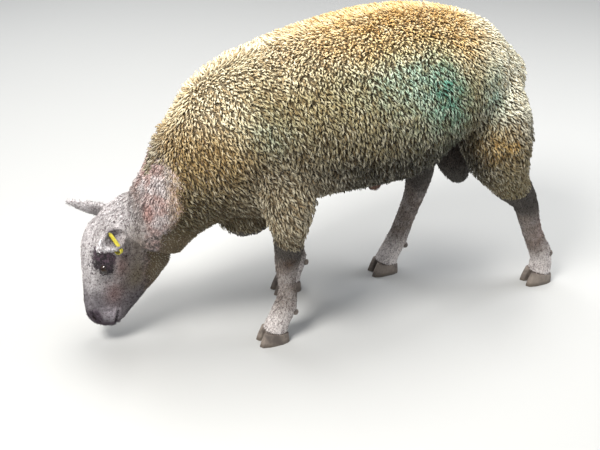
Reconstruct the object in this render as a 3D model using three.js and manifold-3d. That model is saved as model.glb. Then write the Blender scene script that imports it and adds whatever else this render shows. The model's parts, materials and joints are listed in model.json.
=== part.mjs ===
// A grazing ram of a large, short-woolled meat breed, life size, in millimetres.
// +Z is up, the nose points to -X and the left side of the animal faces -Y.
// The origin is at the middle of the bounding box, on the ground.
import * as THREE from 'three';
import { mergeVertices } from 'three/addons/utils/BufferGeometryUtils.js';
import Module from 'manifold-3d';

const wasm = await Module();
wasm.setup();

// ---------------------------------------------------------------- driving dimensions

const GAP = 0.3; // play between two parts that meet
const HOOF_HEIGHT = 42;
const HEAD_LENGTH = 326; // poll to the roots of the lips
const EYE_RADIUS = 15;
const EAR_LENGTH = 124;
const POLL = [-742, 40, 392]; // top of the head, behind the ears
const HEAD_DROP = 84; // degrees that the face hangs below level
const HEAD_TURN = 0; // degrees, towards the left side

// ---------------------------------------------------------------- shape tools

// A closed body through rings, from tail to nose or from hip to foot. Each ring is
// [x, y, z, across, top, bottom, square, egg]: its centre, its half width, its reach towards
// the back (or the front of a leg) and towards the belly, a superellipse power, and how much
// wider it is above its middle than below.
class LoftGeometry extends THREE.BufferGeometry {
  constructor(rings, { along = 20, around = 24, start = 0, end = 0, domes = 3, grow = 0 } = {}) {
    super();
    const curve = (i, j, k) => new THREE.CatmullRomCurve3(
      rings.map((r) => new THREE.Vector3(r[i], r[j], r[k] ?? 0)), false, 'catmullrom', 0.5);
    const centres = curve(0, 1, 2);
    const reaches = curve(3, 4, 5);
    const forms = new THREE.CatmullRomCurve3(
      rings.map((r) => new THREE.Vector3(r[6] ?? 2, r[7] ?? 0, 0)), false, 'catmullrom', 0.5);
    const stations = [];
    const dome = (t, length, outward) => {
      for (let i = 1; i <= domes; i++) {
        const lift = (i / (domes + 0.35)) * Math.PI / 2;
        const station = { t, shift: outward * (length + grow) * Math.sin(lift), scale: Math.cos(lift) };
        if (outward > 0) stations.push(station);
        else stations.unshift(station);
      }
    };
    for (let i = 0; i <= along; i++) stations.push({ t: i / along, shift: 0, scale: 1 });
    dome(0, start, -1);
    dome(1, end, 1);

    const places = [];
    const ends = [];
    for (const { t, shift, scale } of stations) {
      const forward = centres.getTangent(t);
      const side = new THREE.Vector3(0, 1, 0).addScaledVector(forward, -forward.y).normalize();
      const up = new THREE.Vector3().crossVectors(side, forward);
      const centre = centres.getPoint(t).addScaledVector(forward, shift);
      const reach = reaches.getPoint(t).addScalar(grow).multiplyScalar(scale);
      const form = forms.getPoint(t);
      ends.push(centre);
      for (let j = 0; j < around; j++) {
        const turn = (j / around) * Math.PI * 2;
        const across = Math.sign(Math.sin(turn)) * Math.abs(Math.sin(turn)) ** (2 / form.x);
        const rise = Math.sign(Math.cos(turn)) * Math.abs(Math.cos(turn)) ** (2 / form.x);
        const point = centre.clone()
          .addScaledVector(side, across * reach.x * (1 + form.y * rise))
          .addScaledVector(up, rise * (rise > 0 ? reach.y : reach.z));
        places.push(point.x, point.y, point.z);
      }
    }
    const first = places.length / 3;
    places.push(...ends[0].toArray(), ...ends.at(-1).toArray());
    const faces = [];
    const last = stations.length - 1;
    for (let j = 0; j < around; j++) {
      const k = (j + 1) % around;
      for (let i = 0; i < last; i++) {
        const a = i * around + j;
        const b = i * around + k;
        faces.push(a, a + around, b + around, a, b + around, b);
      }
      faces.push(first, j, k, first + 1, last * around + k, last * around + j);
    }
    this.setAttribute('position', new THREE.Float32BufferAttribute(places, 3));
    this.setIndex(faces);
  }
}

// Pushes the skin out, or in where the height is negative, round [x, y, z, reach, height].
function swell(geometry, bumps) {
  geometry.computeVertexNormals();
  const place = geometry.getAttribute('position');
  const normal = geometry.getAttribute('normal');
  const point = new THREE.Vector3();
  const push = new THREE.Vector3();
  for (let i = 0; i < place.count; i++) {
    point.fromBufferAttribute(place, i);
    let height = 0;
    for (const [x, y, z, reach, by] of bumps) {
      height += by * Math.exp(-point.distanceToSquared(new THREE.Vector3(x, y, z)) / reach ** 2);
    }
    push.fromBufferAttribute(normal, i).multiplyScalar(height);
    place.setXYZ(i, point.x + push.x, point.y + push.y, point.z + push.z);
  }
  geometry.deleteAttribute('normal');
  return geometry;
}

// The same bumps on both sides of the middle plane.
const bothSides = (bumps) => bumps.flatMap(([x, y, z, reach, by]) => [
  [x, y, z, reach, by], [x, -y, z, reach, by]]);

function solid(geometry) {
  const bare = geometry.index ? geometry.toNonIndexed() : geometry.clone();
  for (const name of Object.keys(bare.attributes)) {
    if (name !== 'position') bare.deleteAttribute(name);
  }
  const merged = mergeVertices(bare, 1e-3);
  const build = (triVerts) => new wasm.Manifold(new wasm.Mesh({
    numProp: 3, vertProperties: merged.attributes.position.array, triVerts }));
  const made = build(new Uint32Array(merged.index.array));
  return made.volume() > 0 ? made : build(new Uint32Array(merged.index.array).reverse());
}

function surface(made) {
  const { numProp, numVert, vertProperties, triVerts } = made.getMesh();
  const places = new Float32Array(numVert * 3);
  for (let i = 0; i < numVert; i++) {
    places.set(vertProperties.subarray(i * numProp, i * numProp + 3), i * 3);
  }
  const geometry = new THREE.BufferGeometry();
  geometry.setAttribute('position', new THREE.BufferAttribute(places, 3));
  geometry.setIndex(new THREE.BufferAttribute(triVerts, 1));
  return geometry;
}

const loft = (rings, options, grow = 0) => solid(new LoftGeometry(rings, { ...options, grow }));

// ---------------------------------------------------------------- materials

const finish = (color, roughness) => new THREE.MeshStandardMaterial({ color, roughness, metalness: 0 });
const wool = finish(0xb59f6d, 0.95);
const faceSkin = finish(0xb3a098, 0.8);
const legHair = finish(0x9a8174, 0.85);
const darkSkin = finish(0x55463f, 0.7);
const eyeBall = finish(0x1c120c, 0.15);
const hoofHorn = finish(0x6d6152, 0.55);
const tagPlastic = finish(0xe6cf3a, 0.4);

// ---------------------------------------------------------------- torso: trunk and neck in one run

// [x, y, z, across, top, bottom, square, egg], from the rump to the throat
const TORSO_RINGS = [
  [312, 0, 580, 72, 70, 92, 2.1, 0],
  [278, 0, 602, 117, 108, 130, 2.1, -0.03],
  [212, 0, 612, 166, 172, 124, 2.1, -0.03],
  [140, 0, 619, 196, 200, 92, 2.1, 0],
  [70, 0, 618, 219, 220, 118, 2.2, 0],
  [-15, 0, 612, 232, 231, 190, 2.3, -0.06],
  [-100, 0, 608, 236, 230, 198, 2.3, -0.05],
  [-220, 0, 602, 228, 217, 194, 2.3, -0.05],
  [-320, 0, 586, 210, 210, 204, 2.2, -0.04],
  [-400, 0, 560, 186, 214, 250, 2.1, -0.02],
  [-465, 0, 530, 161, 202, 240, 2.05, 0],
  [-530, 4, 492, 136, 155, 180, 2, 0],
  [-590, 11, 436, 112, 106, 142, 2, 0.02],
  [-637, 20, 374, 95, 94, 116, 2, 0.05],
  [-676, 28, 318, 82, 82, 108, 2, 0.08],
];
const TORSO = { along: 21, around: 22, start: 34, end: 14, domes: 2 };
const TORSO_BUMPS = [
  [-432, 0, 300, 70, 14], // keel of the breast
  ...bothSides([
    [-410, 165, 480, 75, 10], // point of the shoulder
    [-215, 215, 470, 60, -8], // behind the elbow
    [95, 205, 470, 80, -12], // flank
    [-575, 75, 330, 45, -5], // groove of the throat
  ]),
];

const BRISKET = { place: [-428, 0, 364], size: [90, 98, 76] }; // hangs between the front legs

// Parting planes, as the direction they face and their distance that way.
const NECK_BASE = { facing: new THREE.Vector3(-1, 0, -0.15).normalize(), at: 386 };
const HEAD_BASE = { facing: new THREE.Vector3(-0.857, 0, -0.515).normalize(), at: 426 };

// The half of a body in front of a plane, and the half behind it, half a gap back from it.
const ahead = (body, { facing, at }) => body.trimByPlane(facing.toArray(), at + GAP / 2);
const behind = (body, { facing, at }) => body.trimByPlane(
  facing.clone().negate().toArray(), GAP / 2 - at);

// ---------------------------------------------------------------- head

// In the head's own frame: the poll at 0, the nose at -X, the forehead up, the left side at -Y.
const HEAD_RINGS = [
  [0, 0, -74, 56, 58, 82, 2, 0],
  [-35, 0, -42, 65, 78, 112, 2, 0.05],
  [-75, 0, -24, 69, 97, 126, 2.1, 0.12],
  [-115, 0, -10, 72, 103, 136, 2.2, 0.2],
  [-150, 0, -2, 67, 96, 132, 2.3, 0.24],
  [-190, 0, 4, 55, 88, 115, 2.3, 0.2],
  [-230, 0, 12, 46, 79, 88, 2.2, 0.1],
  [-270, 0, 22, 41, 69, 66, 2.2, 0],
  [-302, 0, 31, 38, 57, 53, 2.2, 0],
  [4 - HEAD_LENGTH, 0, 36, 34, 47, 43, 2.2, 0],
];
const HEAD = { along: 18, around: 22, start: 18, end: 20, domes: 2 };
const EYE = [-131, 60, 45];
const HEAD_BUMPS = bothSides([
  [-108, 66, 66, 24, 9], // brow
  [-131, 74, 45, 18, -6], // eye socket
  [-128, 52, -45, 38, 6], // cheek
  [-195, 48, 0, 30, -5], // hollow below the eye
  [-312, 31, 50, 15, 3], // nostril wing
  [-300, 28, 8, 20, 3], // lip
]);
const NOSTRIL = { place: [-305, 29, 64], size: [15, 9, 5], lean: -38, splay: 10 };
const MOUTH = { height: 11, corner: -280, width: 3, depth: 5 };

// A flat frame that follows the lips, cut into them as the line of the mouth.
function mouthGroove() {
  const reach = HEAD_LENGTH + 40;
  const plate = solid(new THREE.BoxGeometry(reach + MOUTH.corner, 120, MOUTH.width))
    .translate([(MOUTH.corner - reach) / 2, 0, MOUTH.height]);
  return plate.subtract(loft(HEAD_RINGS, HEAD, -MOUTH.depth));
}

// ---------------------------------------------------------------- ears and tags

// In the ear's own frame: its base at 0, its tip at -X, its hollow open towards +Z.
const EAR_RINGS = [
  [16, 0, -2, 13, 12, 12], [0, 0, 0, 20, 16, 13], [-24, 0, 0, 29, 15, 11], [-52, 0, 0, 29, 12, 10],
  [-84, 0, 2, 21, 9, 8], [-108, 0, 4, 12, 6, 6], [4 - EAR_LENGTH, 0, 5, 6, 4, 4],
];
const CONCHA_RINGS = [
  [-10, 0, 12, 10, 12, 10], [-26, 0, 10, 22, 16, 15], [-52, 0, 10, 24, 16, 15],
  [-82, 0, 10, 16, 12, 11], [-102, 0, 9, 8, 8, 6],
];
const EARS = {
  left: { side: -1, base: [-40, -58, 2], tip: [-20, -146, 73], opening: [0.6, -0.5, -0.3], tagged: true },
  right: { side: 1, base: [-40, 58, 2], tip: [-22, 87, 102], opening: [0.5, 0.8, -0.3], tagged: false },
};
const TAG = { place: [-33, -27, -6], wide: 12, thick: 2, gap: 13, long: 52, past: 2 };

const EAR = { along: 7, around: 10, start: 4, end: 4, domes: 1 };
const CONCHA = { along: 5, around: 10, start: 6, end: 5, domes: 1 };

// A strip folded over the edge of the ear.
function tagSolid(grow) {
  const { thick, gap, long, past, wide } = TAG;
  const outer = gap / 2 + thick + grow;
  const inner = gap / 2 - grow;
  const strip = new THREE.Shape();
  strip.moveTo(-long, outer);
  strip.lineTo(past, outer);
  strip.absarc(past, 0, outer, Math.PI / 2, -Math.PI / 2, true);
  strip.lineTo(-long, -outer);
  strip.lineTo(-long, -inner);
  strip.lineTo(past, -inner);
  strip.absarc(past, 0, inner, -Math.PI / 2, Math.PI / 2, false);
  strip.lineTo(-long, inner);
  strip.closePath();
  const fold = new THREE.ExtrudeGeometry(strip, {
    depth: wide + 2 * grow, bevelEnabled: false, curveSegments: 4 });
  const turned = new THREE.Matrix4().makeBasis(
    new THREE.Vector3(0, -1, 0), new THREE.Vector3(0, 0, 1), new THREE.Vector3(-1, 0, 0));
  return solid(fold.translate(0, 0, -grow).applyMatrix4(turned));
}

// ---------------------------------------------------------------- legs and feet

// [x, y, z, across, front, back] from the shoulder or the hip down to the sole
const LEGS = {
  front_left: [
    [-338, -88, 605, 52, 80, 80], [-350, -138, 520, 76, 90, 80], [-358, -155, 440, 82, 76, 70],
    [-354, -150, 390, 68, 60, 52], [-350, -141, 335, 48, 45, 40], [-350, -130, 295, 36, 37, 36],
    [-352, -124, 252, 31, 32, 31], [-353, -121, 224, 28, 28, 29], [-353, -120, 192, 21, 23, 24],
    [-352, -120, 155, 20, 22, 24], [-356, -119, 118, 25, 27, 31], [-362, -118, 95, 27, 30, 33],
    [-376, -118, 66, 28, 31, 32], [-384, -118, 42, 31, 34, 34], [-388, -118, 18, 30, 34, 34],
  ],
  front_right: [
    [-325, 88, 605, 52, 80, 80], [-330, 138, 520, 76, 90, 80], [-328, 153, 440, 82, 76, 70],
    [-320, 146, 390, 68, 60, 52], [-308, 134, 335, 48, 45, 40], [-298, 122, 295, 36, 37, 36],
    [-287, 113, 252, 31, 32, 31], [-280, 108, 224, 28, 28, 29], [-271, 102, 192, 21, 23, 24],
    [-263, 98, 155, 20, 22, 24], [-256, 94, 118, 25, 27, 31], [-255, 92, 95, 27, 30, 33],
    [-266, 90, 66, 28, 31, 32], [-274, 90, 42, 31, 34, 34], [-278, 90, 18, 30, 34, 34],
  ],
  hind_left: [
    [195, -80, 640, 74, 105, 96], [218, -128, 545, 94, 120, 98], [230, -146, 470, 90, 100, 80],
    [250, -147, 420, 70, 78, 64], [285, -141, 362, 46, 54, 48], [325, -134, 315, 32, 38, 38],
    [348, -130, 270, 27, 32, 33], [372, -126, 205, 24, 27, 28], [398, -123, 150, 24, 27, 28],
    [422, -121, 106, 28, 31, 32], [432, -120, 72, 28, 30, 31], [432, -120, 42, 31, 34, 34],
    [430, -120, 18, 30, 34, 34],
  ],
  hind_right: [
    [198, 80, 640, 74, 105, 96], [190, 128, 545, 94, 120, 98], [165, 146, 470, 90, 100, 82],
    [148, 143, 420, 72, 80, 70], [140, 130, 362, 50, 58, 54], [140, 118, 312, 38, 44, 44],
    [131, 108, 265, 30, 36, 37], [112, 100, 215, 25, 29, 30], [92, 92, 170, 24, 27, 28],
    [70, 85, 120, 25, 28, 29], [56, 80, 92, 28, 31, 32], [38, 78, 64, 28, 31, 32],
    [30, 78, 42, 31, 34, 34], [26, 78, 18, 30, 34, 34],
  ],
};
const LEG = { along: 16, around: 12, start: 30, domes: 1 };
const CLAW = { along: 3, around: 10 };

// One claw at x = 0, from above the hairline to below the ground; `k` is its side.
const clawRings = (k) => [
  [2, k * 15.6, HOOF_HEIGHT + 20, 14, 26, 30, 2.2],
  [0, k * 15.6, HOOF_HEIGHT, 14.5, 32, 34, 2.2],
  [-2, k * 16, HOOF_HEIGHT * 0.4, 15, 41, 38, 2.3],
  [-3, k * 16.4, -8, 15.5, 48, 41, 2.3],
];
const HAIRLINE = { slope: 0.22, drop: 6 }; // the hoof is taller at the toe than at the heel
const FETLOCK = 80; // height above which the dewclaws sit
const DEWCLAW = { size: [9, 7, 11], bury: 3, apart: 12, below: 8 };

// ---------------------------------------------------------------- tail and underside

const TAIL_RINGS = [
  [272, 0, 672, 24, 22, 22], [307, 0, 662, 28, 22, 22], [336, 0, 638, 28, 20, 20], [350, 0, 606, 24, 17, 17],
];
const SCROTUM_RINGS = [
  [184, 0, 530, 34, 46, 44], [180, 0, 452, 38, 58, 54], [179, 0, 408, 45, 59, 54],
  [184, 0, 370, 46, 46, 43], [192, 0, 340, 39, 30, 31],
];
const SHEATH_RINGS = [
  [-34, 0, 430, 32, 40, 40], [-44, 0, 398, 28, 34, 34], [-56, 0, 366, 19, 22, 22], [-61, 0, 350, 15, 17, 17],
];
const SOFT = {
  tail: { rings: TAIL_RINGS, loft: { along: 5, around: 12, end: 14, domes: 2 }, material: wool },
  scrotum: { rings: SCROTUM_RINGS, loft: { along: 5, around: 14, end: 20, domes: 2 }, material: darkSkin },
  sheath: { rings: SHEATH_RINGS, loft: { along: 4, around: 10, end: 10, domes: 2 }, material: darkSkin },
};

// ---------------------------------------------------------------- assembly

const sheep = new THREE.Group();
const face = new THREE.Group(); // holds what sits on the head
face.position.set(...POLL);
face.rotation.set(0, THREE.MathUtils.degToRad(-HEAD_DROP), THREE.MathUtils.degToRad(HEAD_TURN), 'ZYX');
sheep.add(face);

function put(name, body, material, parent = sheep, place = [0, 0, 0]) {
  const mesh = new THREE.Mesh(surface(body), material);
  mesh.name = name;
  mesh.position.set(...place);
  parent.add(mesh);
  return mesh;
}

// A body moved from an object's own frame into the animal's.
function carried(body, object) {
  sheep.updateMatrixWorld(true);
  return body.transform(object.matrixWorld.elements);
}

const globe = (radius) => solid(new THREE.SphereGeometry(radius, 10, 7));
const ball = (radii) => solid(new THREE.SphereGeometry(1, 6, 4).scale(...radii));

// Cuts both claws and both dewclaws out of a leg and puts all five in place.
function putLeg(name, rings) {
  const [footX, footY] = rings.at(-1);
  const hairline = {
    facing: new THREE.Vector3(HAIRLINE.slope, 0, 1).normalize(),
    at: (HAIRLINE.slope * footX + HOOF_HEIGHT - HAIRLINE.drop) / Math.hypot(1, HAIRLINE.slope),
  };
  const [heelX, heelY, heelZ, , , heelBack] = rings.findLast((ring) => ring[2] > FETLOCK);
  let leg = ahead(loft(rings, LEG), hairline);
  for (const [side, k] of [['outer', Math.sign(footY)], ['inner', -Math.sign(footY)]]) {
    const claw = loft(clawRings(k), CLAW).translate([footX, footY, 0]).trimByPlane([0, 0, 1], 0);
    put(`hoof_${name}_${side}`, behind(claw, hairline), hoofHorn);
    const spur = [heelX + heelBack - DEWCLAW.bury, heelY + k * DEWCLAW.apart, heelZ - DEWCLAW.below];
    put(`dewclaw_${name}_${side}`, ball(DEWCLAW.size), hoofHorn, sheep, spur);
    leg = leg.subtract(ball(DEWCLAW.size.map((r) => r + GAP)).translate(spur));
  }
  put(`leg_${name}`, leg, legHair);
}

// The ear's own frame, carried by the head: +X along it to its base, +Z out of its hollow.
function earFrame(base, tip, opening) {
  const backwards = new THREE.Vector3(...base).sub(new THREE.Vector3(...tip)).normalize();
  const open = new THREE.Vector3(...opening).projectOnPlane(backwards).normalize();
  const across = new THREE.Vector3().crossVectors(open, backwards);
  const frame = new THREE.Group();
  frame.position.set(...base);
  frame.quaternion.setFromRotationMatrix(new THREE.Matrix4().makeBasis(backwards, across, open));
  face.add(frame);
  return frame;
}

// Puts one side's eye, ear and any tag in place and gives back the head with room for them.
function dressSide(head, name, { side, base, tip, opening, tagged }) {
  const eyePlace = [EYE[0], side * EYE[1], EYE[2]];
  put(`eye_${name}`, globe(EYE_RADIUS), eyeBall, face, eyePlace);
  const frame = earFrame(base, tip, opening);
  let ear = loft(EAR_RINGS, EAR).subtract(loft(CONCHA_RINGS, CONCHA));
  if (tagged) {
    ear = ear.subtract(tagSolid(GAP).translate(TAG.place));
    put(`ear_tag_${name}`, tagSolid(0), tagPlastic, frame, TAG.place);
  }
  put(`ear_${name}`, ear, faceSkin, frame);
  const nostril = ball(NOSTRIL.size).rotate([0, NOSTRIL.lean, side * NOSTRIL.splay])
    .translate([NOSTRIL.place[0], side * NOSTRIL.place[1], NOSTRIL.place[2]]);
  return head
    .subtract(carried(globe(EYE_RADIUS + GAP).translate(eyePlace), face))
    .subtract(carried(nostril, face))
    .subtract(carried(loft(EAR_RINGS, EAR, GAP), frame));
}

const torso = solid(swell(new LoftGeometry(TORSO_RINGS, TORSO), TORSO_BUMPS));
const skull = carried(solid(swell(new LoftGeometry(HEAD_RINGS, HEAD), HEAD_BUMPS)), face);
const brisket = solid(new THREE.SphereGeometry(1, 10, 6).scale(...BRISKET.size)).translate(BRISKET.place);
const flesh = torso.add(brisket).add(skull);

let trunk = behind(flesh, NECK_BASE);
for (const [name, rings] of Object.entries(LEGS)) {
  putLeg(name, rings);
  trunk = trunk.subtract(loft(rings, LEG, GAP));
}
for (const [name, { rings, loft: options, material }] of Object.entries(SOFT)) {
  put(name, loft(rings, options), material);
  trunk = trunk.subtract(loft(rings, options, GAP));
}
put('trunk', trunk, wool);
put('neck', behind(ahead(flesh, NECK_BASE), HEAD_BASE), wool);

let head = ahead(flesh, HEAD_BASE).subtract(carried(mouthGroove(), face));
for (const [name, ear] of Object.entries(EARS)) head = dressSide(head, name, ear);
put('head', head, faceSkin);

// The bounding box is centred on the origin, and the soles stand on the ground.
sheep.updateMatrixWorld(true);
const box = new THREE.Box3().setFromObject(sheep);
sheep.position.set(-(box.min.x + box.max.x) / 2, -(box.min.y + box.max.y) / 2, -box.min.z);

const part = new THREE.Group();
part.add(sheep);

export default part;
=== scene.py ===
"""A grazing ram of a short-woolled meat breed, life size: skin, fleece, hair, eyes, hooves and a tag."""

import json
import math

import bmesh
import bpy
import numpy as np
from mathutils import Matrix, Vector, noise
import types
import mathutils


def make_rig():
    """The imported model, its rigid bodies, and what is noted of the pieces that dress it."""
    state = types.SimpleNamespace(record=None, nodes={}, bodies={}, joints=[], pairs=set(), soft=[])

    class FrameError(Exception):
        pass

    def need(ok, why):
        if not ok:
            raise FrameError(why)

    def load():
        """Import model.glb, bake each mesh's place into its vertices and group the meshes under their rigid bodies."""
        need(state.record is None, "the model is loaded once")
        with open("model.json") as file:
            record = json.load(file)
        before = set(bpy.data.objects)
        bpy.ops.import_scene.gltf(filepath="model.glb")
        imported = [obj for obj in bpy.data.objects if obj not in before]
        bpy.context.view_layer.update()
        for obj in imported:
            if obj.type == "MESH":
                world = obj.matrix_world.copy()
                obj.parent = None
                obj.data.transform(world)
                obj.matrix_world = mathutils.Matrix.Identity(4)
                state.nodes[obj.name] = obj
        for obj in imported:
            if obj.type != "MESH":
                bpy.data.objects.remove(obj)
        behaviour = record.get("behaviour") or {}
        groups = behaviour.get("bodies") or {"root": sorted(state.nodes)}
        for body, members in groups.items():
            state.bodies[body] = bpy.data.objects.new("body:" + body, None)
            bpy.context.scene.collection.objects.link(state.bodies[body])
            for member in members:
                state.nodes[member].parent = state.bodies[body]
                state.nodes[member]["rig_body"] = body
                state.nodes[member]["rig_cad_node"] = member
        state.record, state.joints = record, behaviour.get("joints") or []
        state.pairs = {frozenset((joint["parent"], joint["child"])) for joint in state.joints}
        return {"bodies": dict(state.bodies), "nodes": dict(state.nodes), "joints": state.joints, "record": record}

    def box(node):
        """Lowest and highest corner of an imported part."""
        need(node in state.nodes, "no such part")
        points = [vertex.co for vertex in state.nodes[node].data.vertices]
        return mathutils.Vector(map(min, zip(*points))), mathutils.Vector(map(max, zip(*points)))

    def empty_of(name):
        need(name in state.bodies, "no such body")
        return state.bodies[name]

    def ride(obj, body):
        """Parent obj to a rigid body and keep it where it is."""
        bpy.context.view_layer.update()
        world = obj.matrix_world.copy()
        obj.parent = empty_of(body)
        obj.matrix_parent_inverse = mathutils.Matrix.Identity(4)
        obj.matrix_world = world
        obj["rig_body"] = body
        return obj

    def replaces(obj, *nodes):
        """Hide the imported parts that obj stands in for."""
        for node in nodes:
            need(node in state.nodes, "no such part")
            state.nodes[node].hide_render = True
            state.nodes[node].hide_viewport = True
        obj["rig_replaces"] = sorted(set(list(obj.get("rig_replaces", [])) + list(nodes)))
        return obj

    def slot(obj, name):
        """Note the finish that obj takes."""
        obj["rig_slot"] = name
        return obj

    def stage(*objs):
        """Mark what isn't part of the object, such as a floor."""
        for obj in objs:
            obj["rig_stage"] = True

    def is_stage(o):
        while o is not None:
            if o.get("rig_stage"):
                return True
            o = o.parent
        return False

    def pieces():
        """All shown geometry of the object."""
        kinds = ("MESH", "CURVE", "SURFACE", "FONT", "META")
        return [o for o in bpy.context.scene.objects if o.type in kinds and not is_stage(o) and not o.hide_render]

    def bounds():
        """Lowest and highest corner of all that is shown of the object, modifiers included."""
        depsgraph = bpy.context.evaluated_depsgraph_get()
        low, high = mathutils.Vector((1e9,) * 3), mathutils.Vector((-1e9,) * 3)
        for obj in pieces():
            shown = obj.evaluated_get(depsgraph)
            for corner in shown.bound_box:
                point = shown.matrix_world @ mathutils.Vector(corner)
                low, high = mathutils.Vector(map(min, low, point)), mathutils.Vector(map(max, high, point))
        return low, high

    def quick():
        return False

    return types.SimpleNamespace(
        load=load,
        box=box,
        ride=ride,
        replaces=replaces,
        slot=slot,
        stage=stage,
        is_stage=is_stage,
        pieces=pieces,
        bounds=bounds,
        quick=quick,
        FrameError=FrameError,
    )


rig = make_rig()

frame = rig.load()
CAD_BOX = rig.bounds()

# ---------------------------------------------------------------- sizes and places, in metres

# The animal's own frame: the nose to -X, the left side to -Y, the ground at 0. It is the frame of
# the model, moved along X so that the front left hoof stands where the stance puts it.
FOOT_FRONT = -0.439                         # foremost point of the front left hoof in that frame
SHIFT = Vector((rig.box("hoof_front_left_outer")[0].x - FOOT_FRONT, 0, 0))

# The head's frame: the nose to -X, the left side to -Y, the forehead to +Z.
POLL = Vector((-0.742, 0.040, 0.392))       # its origin: the top of the head, behind the ears
HEAD_DROP = math.radians(84)                # how far the face hangs below level
HEAD_TURN = Matrix.Rotation(-HEAD_DROP, 4, "Y")
HEAD_FRAME = Matrix.Translation(SHIFT + POLL) @ HEAD_TURN

EYE_RADIUS = 0.015
EYE_HALF_LENGTH = 0.0142                    # of the opening between the lids
EYE_HALF_HEIGHT = 0.0078
LEFT_EYE = np.array((-0.131, -0.060, 0.045))
EYE_OUT = np.array((-0.10, -0.93, 0.35))    # the way the left eye looks
EYE_OUT = EYE_OUT / np.linalg.norm(EYE_OUT)
EYE_LONG = np.array((-0.97, 0.04, -0.22))   # from its outer corner to the inner one
EYE_LONG = EYE_LONG - EYE_OUT * (EYE_LONG @ EYE_OUT)
EYE_LONG = EYE_LONG / np.linalg.norm(EYE_LONG)
EYE_UP = np.cross(EYE_OUT, EYE_LONG)
EYE_UP = EYE_UP * np.sign(EYE_UP[2])
NOSTRIL_LINE = [(-0.288, -0.029, 0.076), (-0.300, -0.031, 0.070), (-0.311, -0.029, 0.061),
                (-0.318, -0.024, 0.052)]
MOUTH_CORNER = -0.280
MOUTH_LINE = [(-0.276, -0.040, 0.008), (-0.296, -0.038, 0.010), (-0.312, -0.034, 0.013),
              (-0.322, -0.020, 0.015), (-0.326, 0.0, 0.016)]

NECK_EDGE = -0.670                          # where the wool begins on top of the neck, along X
FRONT_LEG_EDGE = 0.318                      # where it ends on the legs, above the ground
HIND_LEG_EDGE = 0.352

# Boxes round the bare parts under the belly: half the width, the front, the back and the top.
SCROTUM_BOXES = [(0.056, 0.110, 0.245, 0.425), (0.046, 0.115, 0.240, 0.490)]
SHEATH_BOX = (0.040, -0.110, 0.0, 0.398)

VOXEL = 0.0035                              # grid of the skin
OVERLAP = 0.0006                            # how far the parts of the flesh reach into each other
THIN_TO = 0.30                              # share of the skin's faces kept when its woolly part is thinned
FLEECE_DEPTH = 0.014                        # wool over the skin
HAIR_DEPTH = 0.0012                         # short hair over the skin

LOCK_SPACING = 0.0063 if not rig.quick() else 0.012
FRINGE_SPACING = LOCK_SPACING * 0.66        # of the shorter wool behind the jaw
FRINGE_SIZE = 0.70
LOCK_LENGTH = 0.023
LOCK_STEPS = np.linspace(0, 1, 5)           # the rings of a strand along its length
STRANDS = 2
STRAND_RADIUS = 0.00135
STRAND_GAP = 0.0019
STRAND_SHAPE = np.array([0.75, 1.05, 1.05, 0.85, 0.0])    # thickness at each ring
BEND = 0.0045                               # how far a staple curves to one side, at most
CRIMP = (0.0004, 0.0013)                    # how far its waves stand out
WISP_RADIUS = 0.0008
WISP_LENGTH = (0.006, 0.011)
WOOL_ROOT = 0.002                           # how deep the locks are rooted in the skin
WOOL_PIECES = 7
PARTING = 0.021                             # from one crack of the neck's wool to the next

HAIR_SPACING = 0.0042 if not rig.quick() else 0.009
HAIR_LENGTH = 0.0062
HAIR_RADIUS = 0.00075
HAIR_ROOT = 0.0004
HAIR_PIECES = 2
TRIES = 4.5                                 # places tried in each square of the spacing
ROOM = 0.84                                 # least distance between roots, as a share of their spacing
PATCH = 0.003                               # a tuft's share of the unwrap

FLESH = ["trunk", "neck", "head", "tail", "scrotum", "sheath", "ear_left", "ear_right",
         "leg_front_left", "leg_front_right", "leg_hind_left", "leg_hind_right"]
EYES = ["eye_left", "eye_right"]

HOOF_VOXEL = 0.0018
DEWCLAW_VOXEL = 0.0012
WORN = 4                                    # rounds of smoothing on the edges of the horn
SOLE = 0.0022                               # what lies lower on a hoof is pressed flat on the ground

CAMERA_PLACE = Vector((-0.97516, -1.92517, 1.55))
CAMERA_PITCH = math.radians(32)
CAMERA_TURN = math.radians(-20)
LENS = 54.0


# ---------------------------------------------------------------- small tools

def smooth(edge0, edge1, x):
    """0 below edge0, 1 above edge1, and a smooth step between; the edges may be in either order."""
    t = np.clip((x - edge0) / (edge1 - edge0), 0, 1)
    return t * t * (3 - 2 * t)


def bell(points, centre, reach):
    """1 at the centre, falling off round it; reach is one length or one for each axis."""
    d = (points - np.array(centre)) / np.array(reach)
    return np.exp(-(d * d).sum(-1))


def unit(v):
    """Vectors of length 1 that point the same way."""
    return v / np.maximum(np.linalg.norm(v, axis=-1, keepdims=True), 1e-9)


def ripple(points, scale, seed=0):
    """A smooth random value from -1 to 1 that varies over about `scale` metres."""
    offset = Vector((seed * 7.13, seed * 3.71, seed * 5.37))
    return np.array([noise.noise(Vector(p) / scale + offset) for p in points])


def read(mesh, kind="vertices", what="co", width=3):
    """One property of all of a mesh's items as an array, a row for each."""
    items = getattr(mesh, kind)
    values = np.zeros(len(items) * width, np.float64)
    items.foreach_get(what, values)
    return values.reshape(-1, width) if width > 1 else values


def write_places(mesh, places):
    mesh.vertices.foreach_set("co", np.asarray(places, np.float32).ravel())
    mesh.update()


def new_object(name, mesh):
    piece = bpy.data.objects.new(name, mesh)
    bpy.context.scene.collection.objects.link(piece)
    return piece


def object_from(name, bm):
    """A new object with the shape of a bmesh, which is freed."""
    mesh = bpy.data.meshes.new(name)
    bm.to_mesh(mesh)
    bm.free()
    return new_object(name, mesh)


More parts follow.
